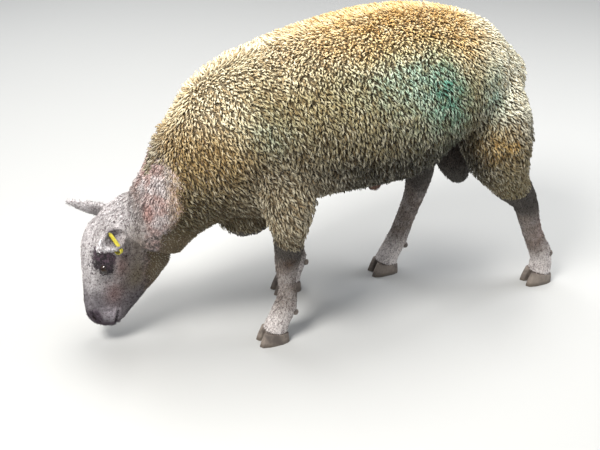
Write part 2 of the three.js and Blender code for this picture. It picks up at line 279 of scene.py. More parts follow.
def applied(piece):
    """The piece's mesh with its modifiers applied, in place of its own."""
    bpy.context.view_layer.update()
    graph = bpy.context.evaluated_depsgraph_get()
    mesh = bpy.data.meshes.new_from_object(piece.evaluated_get(graph))
    old = piece.data
    piece.modifiers.clear()
    piece.vertex_groups.clear()
    piece.data = mesh
    bpy.data.meshes.remove(old)
    mesh.name = piece.name
    return piece


def weigh(piece, name, weights):
    """A vertex group with the given weights, in steps of a twentieth."""
    group = piece.vertex_groups.new(name=name)
    steps = np.round(np.clip(weights.astype(float), 0, 1) * 20).astype(int)
    for step in range(1, 21):
        chosen = np.nonzero(steps == step)[0]
        if len(chosen):
            group.add(chosen.tolist(), step / 20, "REPLACE")


def modifier(piece, kind, **settings):
    made = piece.modifiers.new(kind.title(), kind)
    for name, value in settings.items():
        setattr(made, name, value)


def own(points):
    """Points of the model in the animal's own frame."""
    return points - np.array(SHIFT)


def on_head(points):
    """Points of the model in the head's frame."""
    back = np.array(HEAD_FRAME.inverted())
    return points @ back[:3, :3].T + back[:3, 3]


def mirrored_head(piece):
    """A piece's points in the head's frame, all turned over to its left side."""
    head = on_head(read(piece.data))
    head[:, 1] = -abs(head[:, 1])
    return head


def shade_smooth(piece):
    piece.data.polygons.foreach_set("use_smooth", np.ones(len(piece.data.polygons), bool))


# ---------------------------------------------------------------- where the wool grows

def in_box(p, box):
    """True for the points within a box that lies evenly on both sides."""
    half_width, front, back, top = box
    return (abs(p[:, 1]) < half_width) & (p[:, 0] > front) & (p[:, 0] < back) & (p[:, 2] < top)


def is_scrotum(p):
    return in_box(p, SCROTUM_BOXES[0]) | in_box(p, SCROTUM_BOXES[1])


def is_sheath(p):
    return in_box(p, SHEATH_BOX)


def fringe_share(points):
    """1 where short wavy wool grows between the jaw and the fleece, below the bare neck."""
    p, head = own(points), on_head(points)
    behind_jaw = smooth(0.006, -0.012, head[:, 2] + 0.062 - 0.38 * head[:, 0])
    edge = 0.372 + 0.75 * (p[:, 0] + 0.65)
    share = behind_jaw * smooth(edge + 0.012, edge - 0.014, p[:, 2])
    return share * (p[:, 0] > -0.74) * (p[:, 0] < -0.58) * (wool_share(points) < 0.6)


def wool_share(points):
    """1 where the fleece is full, 0 on the face, ears, lower legs, scrotum and sheath."""
    p = own(points)
    wander = 0.5 * (np.sin(61 * p[:, 1] + 3) + np.sin(83 * p[:, 2] + 47 * p[:, 0]))
    neck_edge = NECK_EDGE + 0.056 * smooth(0.0, 0.095, abs(p[:, 1])) + 0.008 * wander
    neck_edge = neck_edge - 0.035 * smooth(0.42, 0.34, p[:, 2])
    share = smooth(neck_edge - 0.012, neck_edge + 0.018, p[:, 0])
    front = p[:, 0] < -0.12
    front_edge = FRONT_LEG_EDGE + 0.006 * wander + 0.10 * (-(p[:, 0] + 0.34)) * (p[:, 1] < 0)
    hind_edge = HIND_LEG_EDGE + 0.008 * wander + 0.25 * (p[:, 0] - 0.30) * (p[:, 1] < 0)
    leg_edge = np.where(front, front_edge, hind_edge)
    leg = (abs(p[:, 1]) > 0.055) | (p[:, 2] < 0.30)
    on_leg = smooth(leg_edge - 0.012, leg_edge + 0.016, p[:, 2])
    share = np.where(leg & (p[:, 0] > -0.50), np.minimum(share, on_leg), share)
    return np.where(is_scrotum(p) | is_sheath(p), 0.0, share)


# ---------------------------------------------------------------- the skin

def flesh():
    """The flesh of the whole animal as one closed mesh, with the eyes filled in."""
    bm = bmesh.new()
    for name in FLESH + EYES:
        part = bmesh.new()
        part.from_mesh(frame["nodes"][name].data)
        bmesh.ops.remove_doubles(part, verts=part.verts, dist=1e-5)
        part.normal_update()
        for v in part.verts:
            v.co += v.normal * OVERLAP
        mesh = bpy.data.meshes.new(name + "_copy")
        part.to_mesh(mesh)
        part.free()
        bm.from_mesh(mesh)
        bpy.data.meshes.remove(mesh)
    skin = object_from("skin", bm)
    modifier(skin, "REMESH", mode="VOXEL", voxel_size=VOXEL)
    return applied(skin)


def is_ear(p, head):
    """True for the points of the ears, given in the animal's own frame and in the head's."""
    return (head[:, 0] > -0.09) & (abs(head[:, 1]) > 0.068) & (head[:, 2] > -0.02) & (p[:, 0] < -0.66)


def even_out(skin):
    """Smooths the facets away: most on the body, less on the head and legs, least on the ears."""
    points = read(skin.data)
    p = own(points)
    ear = is_ear(p, on_head(points))
    body = (p[:, 0] > -0.70) & (p[:, 2] > 0.30) & ~is_sheath(p)
    body = np.where(ear | ~body, 0.0, smooth(-0.70, -0.64, p[:, 0]))
    for name, weights, rounds in (("body", body, 24), ("all", ~ear, 9), ("ears", ear, 3)):
        weigh(skin, name, weights)
        modifier(skin, "SMOOTH", factor=0.5, iterations=rounds, vertex_group=name)
    applied(skin)


def thin_out(skin):
    """Fewer faces where the wool hides the skin."""
    hidden = wool_share(read(skin.data))
    weigh(skin, "hidden", hidden * (hidden > 0.98))
    modifier(skin, "DECIMATE", decimate_type="COLLAPSE", ratio=THIN_TO, vertex_group="hidden")
    applied(skin)


def refine(skin):
    """Finer faces along the nostrils and the mouth, and twice as fine ones round the eyes."""
    bm = bmesh.new()
    bm.from_mesh(skin.data)
    for round_eye, round_mouth in ((0.036, True), (0.025, False)):
        head = on_head(np.array([v.co[:] for v in bm.verts]))
        head[:, 1] = -abs(head[:, 1])
        near = np.linalg.norm(head - LEFT_EYE, axis=1) < round_eye
        if round_mouth:
            near |= (head[:, 0] < MOUTH_CORNER + 0.012) & (head[:, 2] > -0.01) & (head[:, 2] < 0.085)
        bm.verts.ensure_lookup_table()
        chosen = set(np.nonzero(near)[0].tolist())
        faces = [f for f in bm.faces if all(v.index in chosen for v in f.verts)]
        edges = list(dict.fromkeys(e for f in faces for e in f.edges))
        bmesh.ops.subdivide_edges(bm, edges=edges, cuts=1, use_grid_fill=True)
    bmesh.ops.triangulate(bm, faces=[f for f in bm.faces if len(f.verts) > 4])
    bm.to_mesh(skin.data)
    bm.free()
    skin.data.update()


# ---------------------------------------------------------------- the face

def track(points, places, width):
    """1 on a bent line through the places, falling off over its width, and how far along it points lie."""
    best = np.full(len(points), 9.0)
    way = np.zeros(len(points))
    places = np.array(places)
    for number, (a, b) in enumerate(zip(places[:-1], places[1:])):
        t = np.clip(((points - a) * (b - a)).sum(1) / ((b - a) ** 2).sum(), 0, 1)
        far = np.linalg.norm(points - (a + t[:, None] * (b - a)), axis=1)
        nearer = far < best
        best = np.where(nearer, far, best)
        way = np.where(nearer, (number + t) / (len(places) - 1), way)
    return np.exp(-(best / width) ** 2), way


def laid(q, places):
    """The line through the places, made finer and laid on the nearest points of the skin."""
    places = np.array(places)
    steps = np.linspace(0, 1, 6)[:-1, None]
    fine = [a + (b - a) * steps for a, b in zip(places[:-1], places[1:])] + [places[-1:]]
    fine = np.concatenate(fine)
    return np.array([q[np.argmin(((q - spot) ** 2).sum(1))] for spot in fine])


# The folds of the face: [places along it, depth, width].
FACE_FOLDS = [
    ([(-0.086, -0.060, 0.058), (-0.066, -0.052, 0.050), (-0.052, -0.046, 0.056)], 0.0024, 0.0035),
    ([(-0.092, -0.052, 0.070), (-0.072, -0.044, 0.070), (-0.060, -0.036, 0.070)], 0.0018, 0.0032),
    ([(-0.150, -0.066, 0.036), (-0.172, -0.060, 0.026), (-0.186, -0.056, 0.018)], 0.0024, 0.0034),
    ([(-0.262, -0.018, 0.080), (-0.268, -0.032, 0.062), (-0.258, -0.043, 0.034)], 0.0021, 0.0034),
    ([(-0.273, -0.030, 0.066), (-0.280, -0.040, 0.044), (-0.272, -0.043, 0.020)], 0.00165, 0.0030),
    ([(-0.262, -0.042, 0.016), (-0.246, -0.046, 0.006)], 0.0018, 0.0034),
]

# The bulges and hollows of the face: [height, centre, reach].
FACE_FORMS = [
    (0.0065, (-0.072, -0.050, 0.060), (0.024, 0.026, 0.018)),       # brow
    (0.0032, (-0.108, -0.056, 0.071), (0.022, 0.020, 0.010)),       # upper rim of the socket
    (-0.0043, (-0.098, -0.060, 0.040), (0.020, 0.022, 0.014)),      # hollow behind the eye
    (-0.0043, (-0.165, -0.052, 0.042), (0.020, 0.022, 0.014)),      # hollow before the eye
    (0.0043, (-0.150, -0.062, 0.014), (0.036, 0.024, 0.012)),       # cheekbone
    (0.0043, (-0.100, -0.060, -0.035), (0.045, 0.030, 0.030)),      # chewing muscle
    (-0.0038, (-0.190, -0.046, -0.006), (0.030, 0.022, 0.016)),     # hollow under the cheekbone
    (0.0029, (-0.235, -0.030, 0.072), (0.030, 0.016, 0.012)),       # bridge of the nose
    (0.0043, (-0.292, -0.036, 0.040), (0.018, 0.020, 0.016)),       # upper lip
    (0.0035, (-0.305, -0.030, -0.006), (0.020, 0.020, 0.012)),      # lower lip
]


def face_forms(q):
    """Height of the bulges and folds of the face; q is in the head's frame, mirrored to the left."""
    h = sum(height * bell(q, centre, reach) for height, centre, reach in FACE_FORMS)
    for places, depth, width in FACE_FOLDS:
        h -= depth * track(q, laid(q, places), width)[0]
    return h


def openings(q):
    """Depth of the mouth's slit, the nostrils and the groove under the nose, with their rims."""
    line = laid(q, MOUTH_LINE)
    mouth, way = track(q, line, 0.0026)
    h = -0.0070 * mouth * smooth(0.0, 0.12, way)
    h += 0.0030 * track(q, line + (0, 0, 0.0075), 0.0048)[0]
    h += 0.0024 * track(q, line - (0, 0, 0.0070), 0.0045)[0]
    line = laid(q, NOSTRIL_LINE)
    slit, way = track(q, line, 0.0040)
    h -= 0.0110 * slit * (0.55 + 0.45 * np.sin(math.pi * np.clip(way, 0, 1)))
    h += 0.0036 * track(q, line + (0.005, -0.004, -0.005), 0.0048)[0]
    h += 0.0020 * track(q, line + (-0.004, 0.004, 0.005), 0.0040)[0]
    h -= 0.0024 * np.exp(-(q[:, 1] / 0.0022) ** 2) * smooth(-0.306, -0.316, q[:, 0]) * (q[:, 2] > 0.018)
    return h


def openness(q):
    """1 in the slits of the mouth and the nostrils, for the painted shade in them."""
    mouth, way = track(q, laid(q, MOUTH_LINE), 0.0016)
    return np.maximum(mouth * smooth(0.0, 0.1, way), track(q, laid(q, NOSTRIL_LINE), 0.0028)[0])


def almond(q):
    """Distance from the edge of the eye's almond opening, below 0 inside, and the height across it."""
    d = q - LEFT_EYE
    s = d @ EYE_LONG
    t = d @ EYE_UP
    half = EYE_HALF_HEIGHT * (1 - np.clip(abs(s) / EYE_RADIUS, 0, 1) ** 2.2)
    across = abs(t - 0.0008) - half
    ends = abs(s) - EYE_HALF_LENGTH
    return np.where(ends > 0, np.maximum(across, ends), across), t


def set_lids(q):
    """Lids round the eyeballs: the skin drops behind the ball in the opening and rolls over its edge."""
    d = q - LEFT_EYE
    far = np.linalg.norm(d, axis=1)
    way = d / far[:, None]
    edge, t = almond(q)
    near = (far < 0.034) & (way @ EYE_OUT > 0.05)
    rim = edge[:, None]
    # Just clear of the ball, with a rounded edge, a crease behind it and a second fold above the eye.
    lid = EYE_RADIUS + 0.0012 + 0.0016 * bell(rim, 0.0016, 0.0016) - 0.0010 * bell(rim, 0.0044, 0.0011)
    lid = lid + 0.0008 * bell(rim, 0.0064, 0.0014) * (t > 0)
    laid_at = np.where(edge < 0, EYE_RADIUS - 0.0028, lid)
    hold = np.where(edge < 0, 1.0, smooth(0.0105, 0.0030, edge))
    made = far * (1 - hold) + laid_at * hold
    return np.where(near[:, None], LEFT_EYE + way * made[:, None], q)


def sculpt(skin):
    """Adds what the plain solids leave out: lids, nostrils, lips, folds and the fine unevenness of skin."""
    points = read(skin.data)
    turn = np.array(HEAD_FRAME)[:3, :3]
    origin = np.array(HEAD_FRAME)[:3, 3]
    p, head = own(points), on_head(points)
    to_left = np.ones_like(head)
    to_left[:, 1] = np.where(head[:, 1] > 0, -1.0, 1.0)
    q = head * to_left
    face = (head[:, 0] < 0.03) & (p[:, 0] < -0.62)
    ear = is_ear(p, head)
    height = np.zeros(len(points))
    height[face] = face_forms(q[face]) + openings(q[face])
    height[ear] = 0
    height += skin_relief(points, ear)
    q = q + height[:, None] * (read(skin.data, what="normal") @ turn) * to_left
    q = np.where((face & ~ear)[:, None], set_lids(q), q)
    write_places(skin.data, (q * to_left) @ turn.T + origin)


def skin_relief(points, ear):
    """Small lumps over the bare skin, loose folds below the neck, and the scrotum's groove and creases."""
    bare = wool_share(points) < 0.9
    chosen = points[bare]
    q = own(chosen)
    height = np.zeros(len(points))
    height[bare] = 0.0007 * ripple(chosen, 0.022, 2) + 0.0004 * ripple(chosen, 0.008, 3)
    face = smooth(-0.60, -0.66, q[:, 0])
    height[bare] += face * (0.0008 * ripple(chosen, 0.013, 10) + 0.0003 * ripple(chosen, 0.006, 12))
    folds = bell(q, (-0.680, 0.0, 0.400), (0.040, 0.30, 0.090))
    wave = np.sin((q[:, 0] * 0.9 + q[:, 2] * 0.25) * 2 * math.pi / 0.017 + 2.5 * ripple(chosen, 0.05, 4))
    height[bare] += 0.0013 * folds * wave
    groove = np.exp(-(q[:, 1] / 0.007) ** 2) * smooth(0.41, 0.36, q[:, 2])
    creases = np.sin(q[:, 2] * 2 * math.pi / 0.0085 + 3.0 * ripple(chosen, 0.030, 9))
    height[bare] += is_scrotum(q) * (0.0008 * creases - 0.0050 * groove)
    return height * np.where(ear, 0.6, 1.0)


def shortness(points, normals):
    """The share of its full depth that the wool has: less on the brisket, the belly and the legs."""
    p = own(points)
    under = smooth(-0.25, -0.80, normals[:, 2])
    leg = smooth(0.46, 0.36, p[:, 2])
    throat = smooth(-0.54, -0.62, p[:, 0]) * smooth(0.40, 0.33, p[:, 2])
    return (1 - 0.45 * under) * (1 - 0.30 * leg) * (1 - 0.55 * throat)


def sink(skin):
    """Moves the skin in by the depth of the coat."""
    points = read(skin.data)
    normals = read(skin.data, what="normal")
    depth = HAIR_DEPTH + (FLEECE_DEPTH - HAIR_DEPTH) * wool_share(points) * shortness(points, normals)
    write_places(skin.data, points - normals * depth[:, None])


def skin_piece():
    """One skin over all the flesh, lower than the solids by the depth of the coat."""
    skin = flesh()
    even_out(skin)
    sink(skin)
    thin_out(skin)
    refine(skin)
    sculpt(skin)
    shade_smooth(skin)
    return skin


# ---------------------------------------------------------------- the coat

def unwrap(skin):
    """Lays the skin's own shape out flat; the coat's patches sit where their roots do on it."""
    bpy.context.view_layer.objects.active = skin
    skin.select_set(True)
    bpy.ops.object.mode_set(mode="EDIT")
    bpy.ops.mesh.select_all(action="SELECT")
    bpy.ops.uv.smart_project(angle_limit=math.radians(66), island_margin=0.002)
    bpy.ops.object.mode_set(mode="OBJECT")
    skin.select_set(False)
    skin.data.uv_layers[0].name = "OFBake"


class Roots:
    """Places on the skin where tufts grow, with the way the skin faces and where they lie on its unwrap."""

    def __init__(self, skin, spacing, share, seed):
        mesh = skin.data
        mesh.calc_loop_triangles()
        places = read(mesh)
        normals = read(mesh, what="normal")
        corners = read(mesh, "loop_triangles", "vertices").astype(int)
        loops = read(mesh, "loop_triangles", "loops").astype(int)
        uv = read(mesh.uv_layers["OFBake"], "data", "uv", 2)
        a, b, c = (places[corners[:, k]] for k in range(3))
        area = 0.5 * np.linalg.norm(np.cross(b - a, c - a), axis=1)
        area = area * smooth(0.15, 0.55, share[corners].mean(1))
        rng = np.random.default_rng(seed)
        tries = int(area.sum() / spacing ** 2 * TRIES)
        face = rng.choice(len(area), size=tries, p=area / area.sum())
        r, t = np.sqrt(rng.random(tries)), rng.random(tries)
        blend = np.stack([1 - r, r * (1 - t), r * t], 1)
        place = (places[corners[face]] * blend[:, :, None]).sum(1)
        kept = self.thinned(place, spacing * ROOM)
        blend, face = blend[kept], face[kept]
        self.place = place[kept]
        self.normal = unit((normals[corners[face]] * blend[:, :, None]).sum(1))
        self.uv = (uv[loops[face]] * blend[:, :, None]).sum(1)
        self.share = (share[corners[face]] * blend).sum(1)
        self.rng = rng

    @staticmethod
    def thinned(place, apart):
        """The indices of places that keep a distance from all that were kept before them."""
        cells = np.floor(place / apart).astype(int).tolist()
        taken = {}
        kept = []
        around = [(i, j, k) for i in (-1, 0, 1) for j in (-1, 0, 1) for k in (-1, 0, 1)]
        limit = apart * apart

        def is_clear(px, py, pz, x, y, z):
            for i, j, k in around:
                for qx, qy, qz in taken.get((x + i, y + j, z + k), ()):
                    if (px - qx) ** 2 + (py - qy) ** 2 + (pz - qz) ** 2 < limit:
                        return False
            return True

        for index, (spot, cell) in enumerate(zip(place.tolist(), cells)):
            if is_clear(*spot, *cell):
                kept.append(index)
                taken.setdefault(tuple(cell), []).append(spot)
        return np.array(kept)

    def __len__(self):
        return len(self.place)

    def interleaved(self, number, pieces):
        """The roots of one of several pieces that all spread over the same skin."""
        other = object.__new__(Roots)
        for name in ("place", "normal", "uv", "share"):
            setattr(other, name, getattr(self, name)[number::pieces])
        other.rng = self.rng
        return other


def combed(roots, lie, stray, seed):
    """Unit vectors along the skin near the lie of the coat, turned aside by up to `stray` radians."""
    along = unit(lie - roots.normal * (lie * roots.normal).sum(1)[:, None])
    aside = np.cross(roots.normal, along)
    turn = stray * (ripple(roots.place, 0.035, seed) + 0.8 * roots.rng.uniform(-1, 1, len(roots)))
    return along * np.cos(turn)[:, None] + aside * np.sin(turn)[:, None]


def tubes(centres, radii, sides, spin, across):
    """Closed tapering tubes: centres is (tufts, rings, 3), radii (tufts, rings); the last ring is a tip.

    Returns the vertices, the faces of one tube, and each vertex's place along and round it."""
    count, rings, _ = centres.shape
    forward = unit(np.gradient(centres, axis=1))
    side = unit(across[:, None, :] - forward * (across[:, None, :] * forward).sum(2)[:, :, None])
    up = np.cross(forward, side)
    turn = spin[:, None, None] + np.arange(sides)[None, None, :] * (2 * math.pi / sides)
    ring = (centres[:, :-1, None, :]
            + radii[:, :-1, None, None] * (np.cos(turn)[..., None] * side[:, :-1, None, :]
                                           + np.sin(turn)[..., None] * up[:, :-1, None, :]))
    places = np.concatenate([ring.reshape(count, -1, 3), centres[:, -1:, :]], 1)
    quads = []
    for i in range(rings - 2):
        for j in range(sides):
            k = (j + 1) % sides
            quads.append((i * sides + j, i * sides + k, (i + 1) * sides + k, (i + 1) * sides + j))
    tip = (rings - 1) * sides
    last = (rings - 2) * sides
    caps = [(last + j, last + (j + 1) % sides, tip) for j in range(sides)]
    base = [tuple(range(sides - 1, -1, -1))]
    along = np.concatenate([np.repeat(np.arange(rings - 1), sides), [rings - 1]]) / (rings - 1)
    round_ = np.concatenate([np.tile(np.arange(sides), rings - 1), [sides / 2]]) / sides
    return places, quads + caps + base, along, round_


def tuft_mesh(name, groups):
    """One joined mesh from groups of tubes; each is (places, faces, along, round, root uv, tone)."""
    co, corner_list, sizes, along_all, tone_all, uv_all = [], [], [], [], [], []
    start = 0
    for places, faces, along, round_, uv, tone in groups:
        count, each, _ = places.shape
        co.append(places.reshape(-1, 3))
        flat = np.concatenate([np.array(f) for f in faces])
        offsets = start + np.arange(count) * each
        corner_list.append((offsets[:, None] + flat[None, :]).ravel())
        sizes.append(np.tile([len(f) for f in faces], count))
        along_all.append(np.tile(along, count))
        tone_all.append(np.repeat(tone, each))
        patch = np.stack([round_ - 0.5, along - 0.5], 1)[flat] * PATCH
        uv_all.append((uv[:, None, :] + patch[None, :, :]).reshape(-1, 2))
        start += count * each
    co = np.concatenate(co)
    corners = np.concatenate(corner_list)
    sizes = np.concatenate(sizes)
    mesh = bpy.data.meshes.new(name)
    mesh.vertices.add(len(co))
    mesh.vertices.foreach_set("co", co.astype(np.float32).ravel())
    mesh.loops.add(len(corners))
    mesh.loops.foreach_set("vertex_index", corners.astype(np.int32))
    mesh.polygons.add(len(sizes))
    mesh.polygons.foreach_set("loop_start", np.concatenate([[0], np.cumsum(sizes)[:-1]]).astype(np.int32))
    mesh.polygons.foreach_set("use_smooth", np.ones(len(sizes), bool))
    mesh.update(calc_edges=True)
    layer = mesh.uv_layers.new(name="OFBake")
    layer.data.foreach_set("uv", np.clip(np.concatenate(uv_all), 0, 1).astype(np.float32).ravel())
    for label, values in (("along", along_all), ("tone", tone_all)):
        attribute = mesh.attributes.new(label, "FLOAT", "POINT")
        attribute.data.foreach_set("value", np.concatenate(values).astype(np.float32))
    return mesh


def lie_of_wool(roots):
    """Down and back on the neck and the rump, down and forward on the upper flank, outward on the back."""
    p = own(roots.place)
    neck = smooth(-0.30, -0.42, p[:, 0])
    flank = bell(p[:, 0], -0.16, 0.13) * smooth(0.60, 0.72, p[:, 2])
    rump = smooth(0.08, 0.20, p[:, 0])
    top = smooth(0.72, 0.80, p[:, 2]) * (1 - neck)
    lie = np.zeros_like(p)
    lie[:, 2] = -1
    lie[:, 0] = 0.12 + 0.60 * neck - 1.0 * flank + 0.35 * rump - 0.55 * top
    lie[:, 1] = 0.60 * np.tanh(p[:, 1] / 0.05)
    return lie


def partings(points):
    """1 along the cracks where the wool of the neck and the shoulder parts into rows."""
    p = own(points)
    across = 0.80 * p[:, 0] + 0.60 * p[:, 2]
    wave = np.sin(math.pi * across / PARTING + 1.8 * ripple(points, 0.070, 5))
    strength = smooth(-0.22, -0.36, p[:, 0]) * smooth(-0.80, -0.25, ripple(points, 0.045, 6))
    small = smooth(0.25, 0.45, ripple(points, 0.020, 7)) * 0.4
    return np.maximum(np.exp(-(wave / 0.50) ** 2) * strength, small)


def swept(direction, amount):
    """Offsets for every tuft and ring: the tuft's direction times its amount at each ring."""
    return direction[:, None, :] * amount[..., None]


class Staples:
    """Staples of wool, each of strands that share one wavy bend and draw together at the tip."""

    def __init__(self, roots, size):
        self.roots = roots
        self.count = len(roots)
        rng = roots.rng
        self.along = combed(roots, lie_of_wool(roots), 0.50, 1)
        self.aside = np.cross(roots.normal, self.along)
        grown = 0.40 + 0.60 * smooth(0.3, 1.0, roots.share)
        self.full = shortness(roots.place, roots.normal) * grown * size
        gap = partings(roots.place)
        length = LOCK_LENGTH * self.full * rng.uniform(0.78, 1.15, self.count)
        height = FLEECE_DEPTH * (0.10 + 0.95 * self.full) * rng.uniform(0.80, 1.10, self.count)
        height = np.minimum(length * 0.62, height * (1 - 0.72 * gap))
        self.reach = np.sqrt(np.maximum(length ** 2 - height ** 2, 1e-8)) * 0.92
        rise = np.sin(LOCK_STEPS * math.pi / 2 * 1.10)
        self.middle = (roots.place[:, None, :] - roots.normal[:, None, :] * WOOL_ROOT
                       + swept(roots.normal, height[:, None] * rise)
                       + swept(self.along, self.reach[:, None] * LOCK_STEPS ** 1.35)
                       + swept(self.aside, self.sway()))
        # A lower tone in the partings: painted shade of the cracks, over a random tone.
        self.tone = np.clip(rng.random(self.count) * (1 - 0.9 * gap), 0, 1)

    def drawn(self, low, high):
        """One random value for each staple, as a column."""
        return self.roots.rng.uniform(low, high, (self.count, 1))

    def sway(self):
        """How far each ring lies to the side: one bend, and small waves on it."""
        full = self.full[:, None]
        bend = self.drawn(-BEND, BEND) * full * LOCK_STEPS ** 2
        crimp = self.drawn(*CRIMP) * np.where(self.roots.rng.random((self.count, 1)) < 0.5, -1, 1)
        return bend + crimp * np.sin(LOCK_STEPS * math.pi * 3) * full

    def strand(self, number):
        """One strand of each staple."""
        apart = (number - 0.5 * (STRANDS - 1)) * STRAND_GAP * (1 - 0.55 * LOCK_STEPS)
        apart = apart + self.drawn(-0.0006, 0.0006) * LOCK_STEPS
        over = self.drawn(-0.0012, 0.0012) * LOCK_STEPS
        ahead = self.drawn(-0.10, 0.06) * self.reach[:, None] * LOCK_STEPS
        thick = (0.5 + 0.5 * self.full)[:, None]
        centres = (self.middle + swept(self.aside, apart * thick) + swept(self.roots.normal, over)
                   + swept(self.along, ahead))
        radii = STRAND_RADIUS * thick * self.drawn(0.8, 1.2) * STRAND_SHAPE
        spin = self.roots.rng.uniform(0, math.pi, self.count)
        tone = np.clip(self.tone + self.roots.rng.uniform(-0.22, 0.22, self.count), 0, 1)
        return (*tubes(centres, radii, 3, spin, self.aside), self.roots.uv, tone)

    def wisp(self):
        """A short loose end that leans out from the middle of the staple."""
        lean = (self.roots.normal * self.drawn(0.2, 0.8) + self.along * self.drawn(0.5, 1.2)
                + self.aside * self.drawn(-0.8, 0.8))
        start = self.middle[:, 2] + self.aside * self.drawn(-0.0015, 0.0015)
        full = self.full[:, None]
        line = np.stack([start, start + unit(lean) * self.drawn(*WISP_LENGTH) * full], 1)
        spin = self.roots.rng.uniform(0, math.pi, self.count)
        radii = np.array([WISP_RADIUS, 0.0]) * full
        places, faces, along, round_ = tubes(line, radii, 3, spin, self.aside)
        return places, faces, 0.62 + 0.38 * along, round_, self.roots.uv, self.tone

    def groups(self):
        return [self.strand(number) for number in range(STRANDS)] + [self.wisp()]


def fleece(skin, share):
    """The wool in interleaved pieces, each spread over the whole body."""
    roots = Roots(skin, LOCK_SPACING, share, seed=3)
    fringe = Roots(skin, FRINGE_SPACING, fringe_share(read(skin.data)), seed=5)
    pieces = []
    for number in range(WOOL_PIECES):
        groups = Staples(roots.interleaved(number, WOOL_PIECES), 1.0).groups()
        groups += Staples(fringe.interleaved(number, WOOL_PIECES), FRINGE_SIZE).groups()
        pieces.append(new_object(f"wool_{number + 1}", tuft_mesh(f"wool_{number + 1}", groups)))
    return pieces


def from_head(x, y, z):
    """A direction for each tuft, given in the head's frame, turned into the model's."""
    turn = np.array(HEAD_FRAME)[:3, :3]
    return np.stack(np.broadcast_arrays(x, y, z), 1) @ turn.T


def lie_of_hair(roots):
    """Back from the nose over the face, out along the ears, down the neck and the legs."""
    p, head = own(roots.place), on_head(roots.place)
    lie = np.tile((0.1, 0.0, -1.0), (len(p), 1))
    side = np.sign(head[:, 1])
    on_face = (head[:, 0] < 0.02) & (p[:, 0] < -0.60)
    lie = np.where(on_face[:, None], from_head(1.0, 0.25 * side, -0.35), lie)
    return np.where(is_ear(p, head)[:, None], from_head(-0.2, side, 0.1), lie)


def hair_tubes(roots):
    """Short flat tufts, smallest on the face and the feet."""
    count = len(roots)
    rng = roots.rng
    p, head = own(roots.place), on_head(roots.place)
    along = combed(roots, lie_of_hair(roots), 0.45, 8)
    aside = np.cross(roots.normal, along)
    size = np.where(p[:, 0] < -0.62, 0.8 + 0.7 * smooth(-0.06, 0.06, head[:, 0]), 1.0)
    size = size * np.where((p[:, 2] < 0.10) & (p[:, 0] > -0.6), 0.75, 1.0)
    size = size * (1 + 0.5 * smooth(0.05, 0.5, roots.share))
    length = HAIR_LENGTH * size * rng.uniform(0.7, 1.25, count)
    lift = length * rng.uniform(0.16, 0.34, count)
    steps = np.array([0.0, 0.5, 1.0])
    centres = (roots.place[:, None, :] - roots.normal[:, None, :] * HAIR_ROOT
               + swept(roots.normal, lift[:, None] * np.sin(steps * 2.2))
               + swept(along, length[:, None] * steps)
               + swept(aside, rng.uniform(-0.0006, 0.0006, (count, 1)) * steps ** 2))
    radii = HAIR_RADIUS * size[:, None] * rng.uniform(0.7, 1.2, (count, 1)) * np.array([0.7, 1.0, 0.0])
    spin = rng.uniform(0, math.pi, count)
    return [(*tubes(centres, radii, 3, spin, aside), roots.uv, rng.random(count))]


def short_hair(skin, share):
    """Tufts over all that carries no wool, apart from the lids, the nostrils and the lips."""
    head = mirrored_head(skin)
    eye = np.linalg.norm(head - LEFT_EYE, axis=1) < 0.021
    eye |= bell(head, (-0.104, -0.060, 0.052), (0.026, 0.030, 0.019)) > 0.45
    nose = np.maximum(track(head, NOSTRIL_LINE, 0.006)[0], track(head, MOUTH_LINE, 0.004)[0]) > 0.3
    bare = np.where(eye | nose, 0.0, np.clip(1.6 - 1.4 * share, 0, 1))
    roots = Roots(skin, HAIR_SPACING, bare, seed=11)
    pieces = []
    for number in range(HAIR_PIECES):
        groups = hair_tubes(roots.interleaved(number, HAIR_PIECES))
        pieces.append(new_object(f"hair_{number + 1}", tuft_mesh(f"hair_{number + 1}", groups)))
    return pieces


# ---------------------------------------------------------------- eyes

def on_side(place, side):
    """A place of the left side of the head, or its mirror image for the right: side is -1 or 1."""
    return Vector(place * np.array((1, -side, 1)))


def eyeball(name, side):
    """A ball with a domed window in front, at the place of the solid eye."""
    radius = EYE_RADIUS - 0.0002            # just clear of the lids
    window = 0.75                           # how far the dome reaches from its middle, in radians
    bm = bmesh.new()
    bmesh.ops.create_uvsphere(bm, u_segments=48, v_segments=32, radius=radius)
    for v in bm.verts:
        off = math.acos(max(-1.0, min(1.0, v.co.z / radius)))
        if off < window:
            v.co *= 1 + 0.055 * (0.5 + 0.5 * math.cos(off / window * math.pi))
    turn = Vector((0, 0, 1)).rotation_difference(on_side(EYE_OUT, side)).to_matrix().to_4x4()
    bm.transform(HEAD_FRAME @ Matrix.Translation(on_side(LEFT_EYE, side)) @ turn)
    for face in bm.faces:
        face.smooth = True
    piece = object_from(name, bm)
    piece.data.materials.append(eye_finish(name, side))
    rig.ride(piece, "root")
    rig.replaces(piece, name)
    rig.slot(piece, "eye")


# ---------------------------------------------------------------- shader maths

class Shade:
    """One output of a shader node; sums, products and powers of it add the Math nodes they need."""

    def __init__(self, graph, socket):
        self.graph = graph
        self.socket = socket

    def __add__(self, other):
        return self.graph.maths("ADD", self, other)

    def __sub__(self, other):
        return self.graph.maths("SUBTRACT", self, other)

    def __mul__(self, other):
        return self.graph.maths("MULTIPLY", self, other)

    def __truediv__(self, other):
        return self.graph.maths("DIVIDE", self, other)

    def __pow__(self, other):
        return self.graph.maths("POWER", self, other)

    def above(self, low, high):
        """0 below low, 1 above high, a smooth step between; low may be the larger."""
        return self.graph.node("ShaderNodeMapRange", {"interpolation_type": "SMOOTHSTEP"},
                               {"Value": self, "From Min": low, "From Max": high,
                                "To Min": 0.0, "To Max": 1.0})

    def clamped(self):
        return self.graph.node("ShaderNodeClamp", {}, {"Value": self, "Min": 0.0, "Max": 1.0})


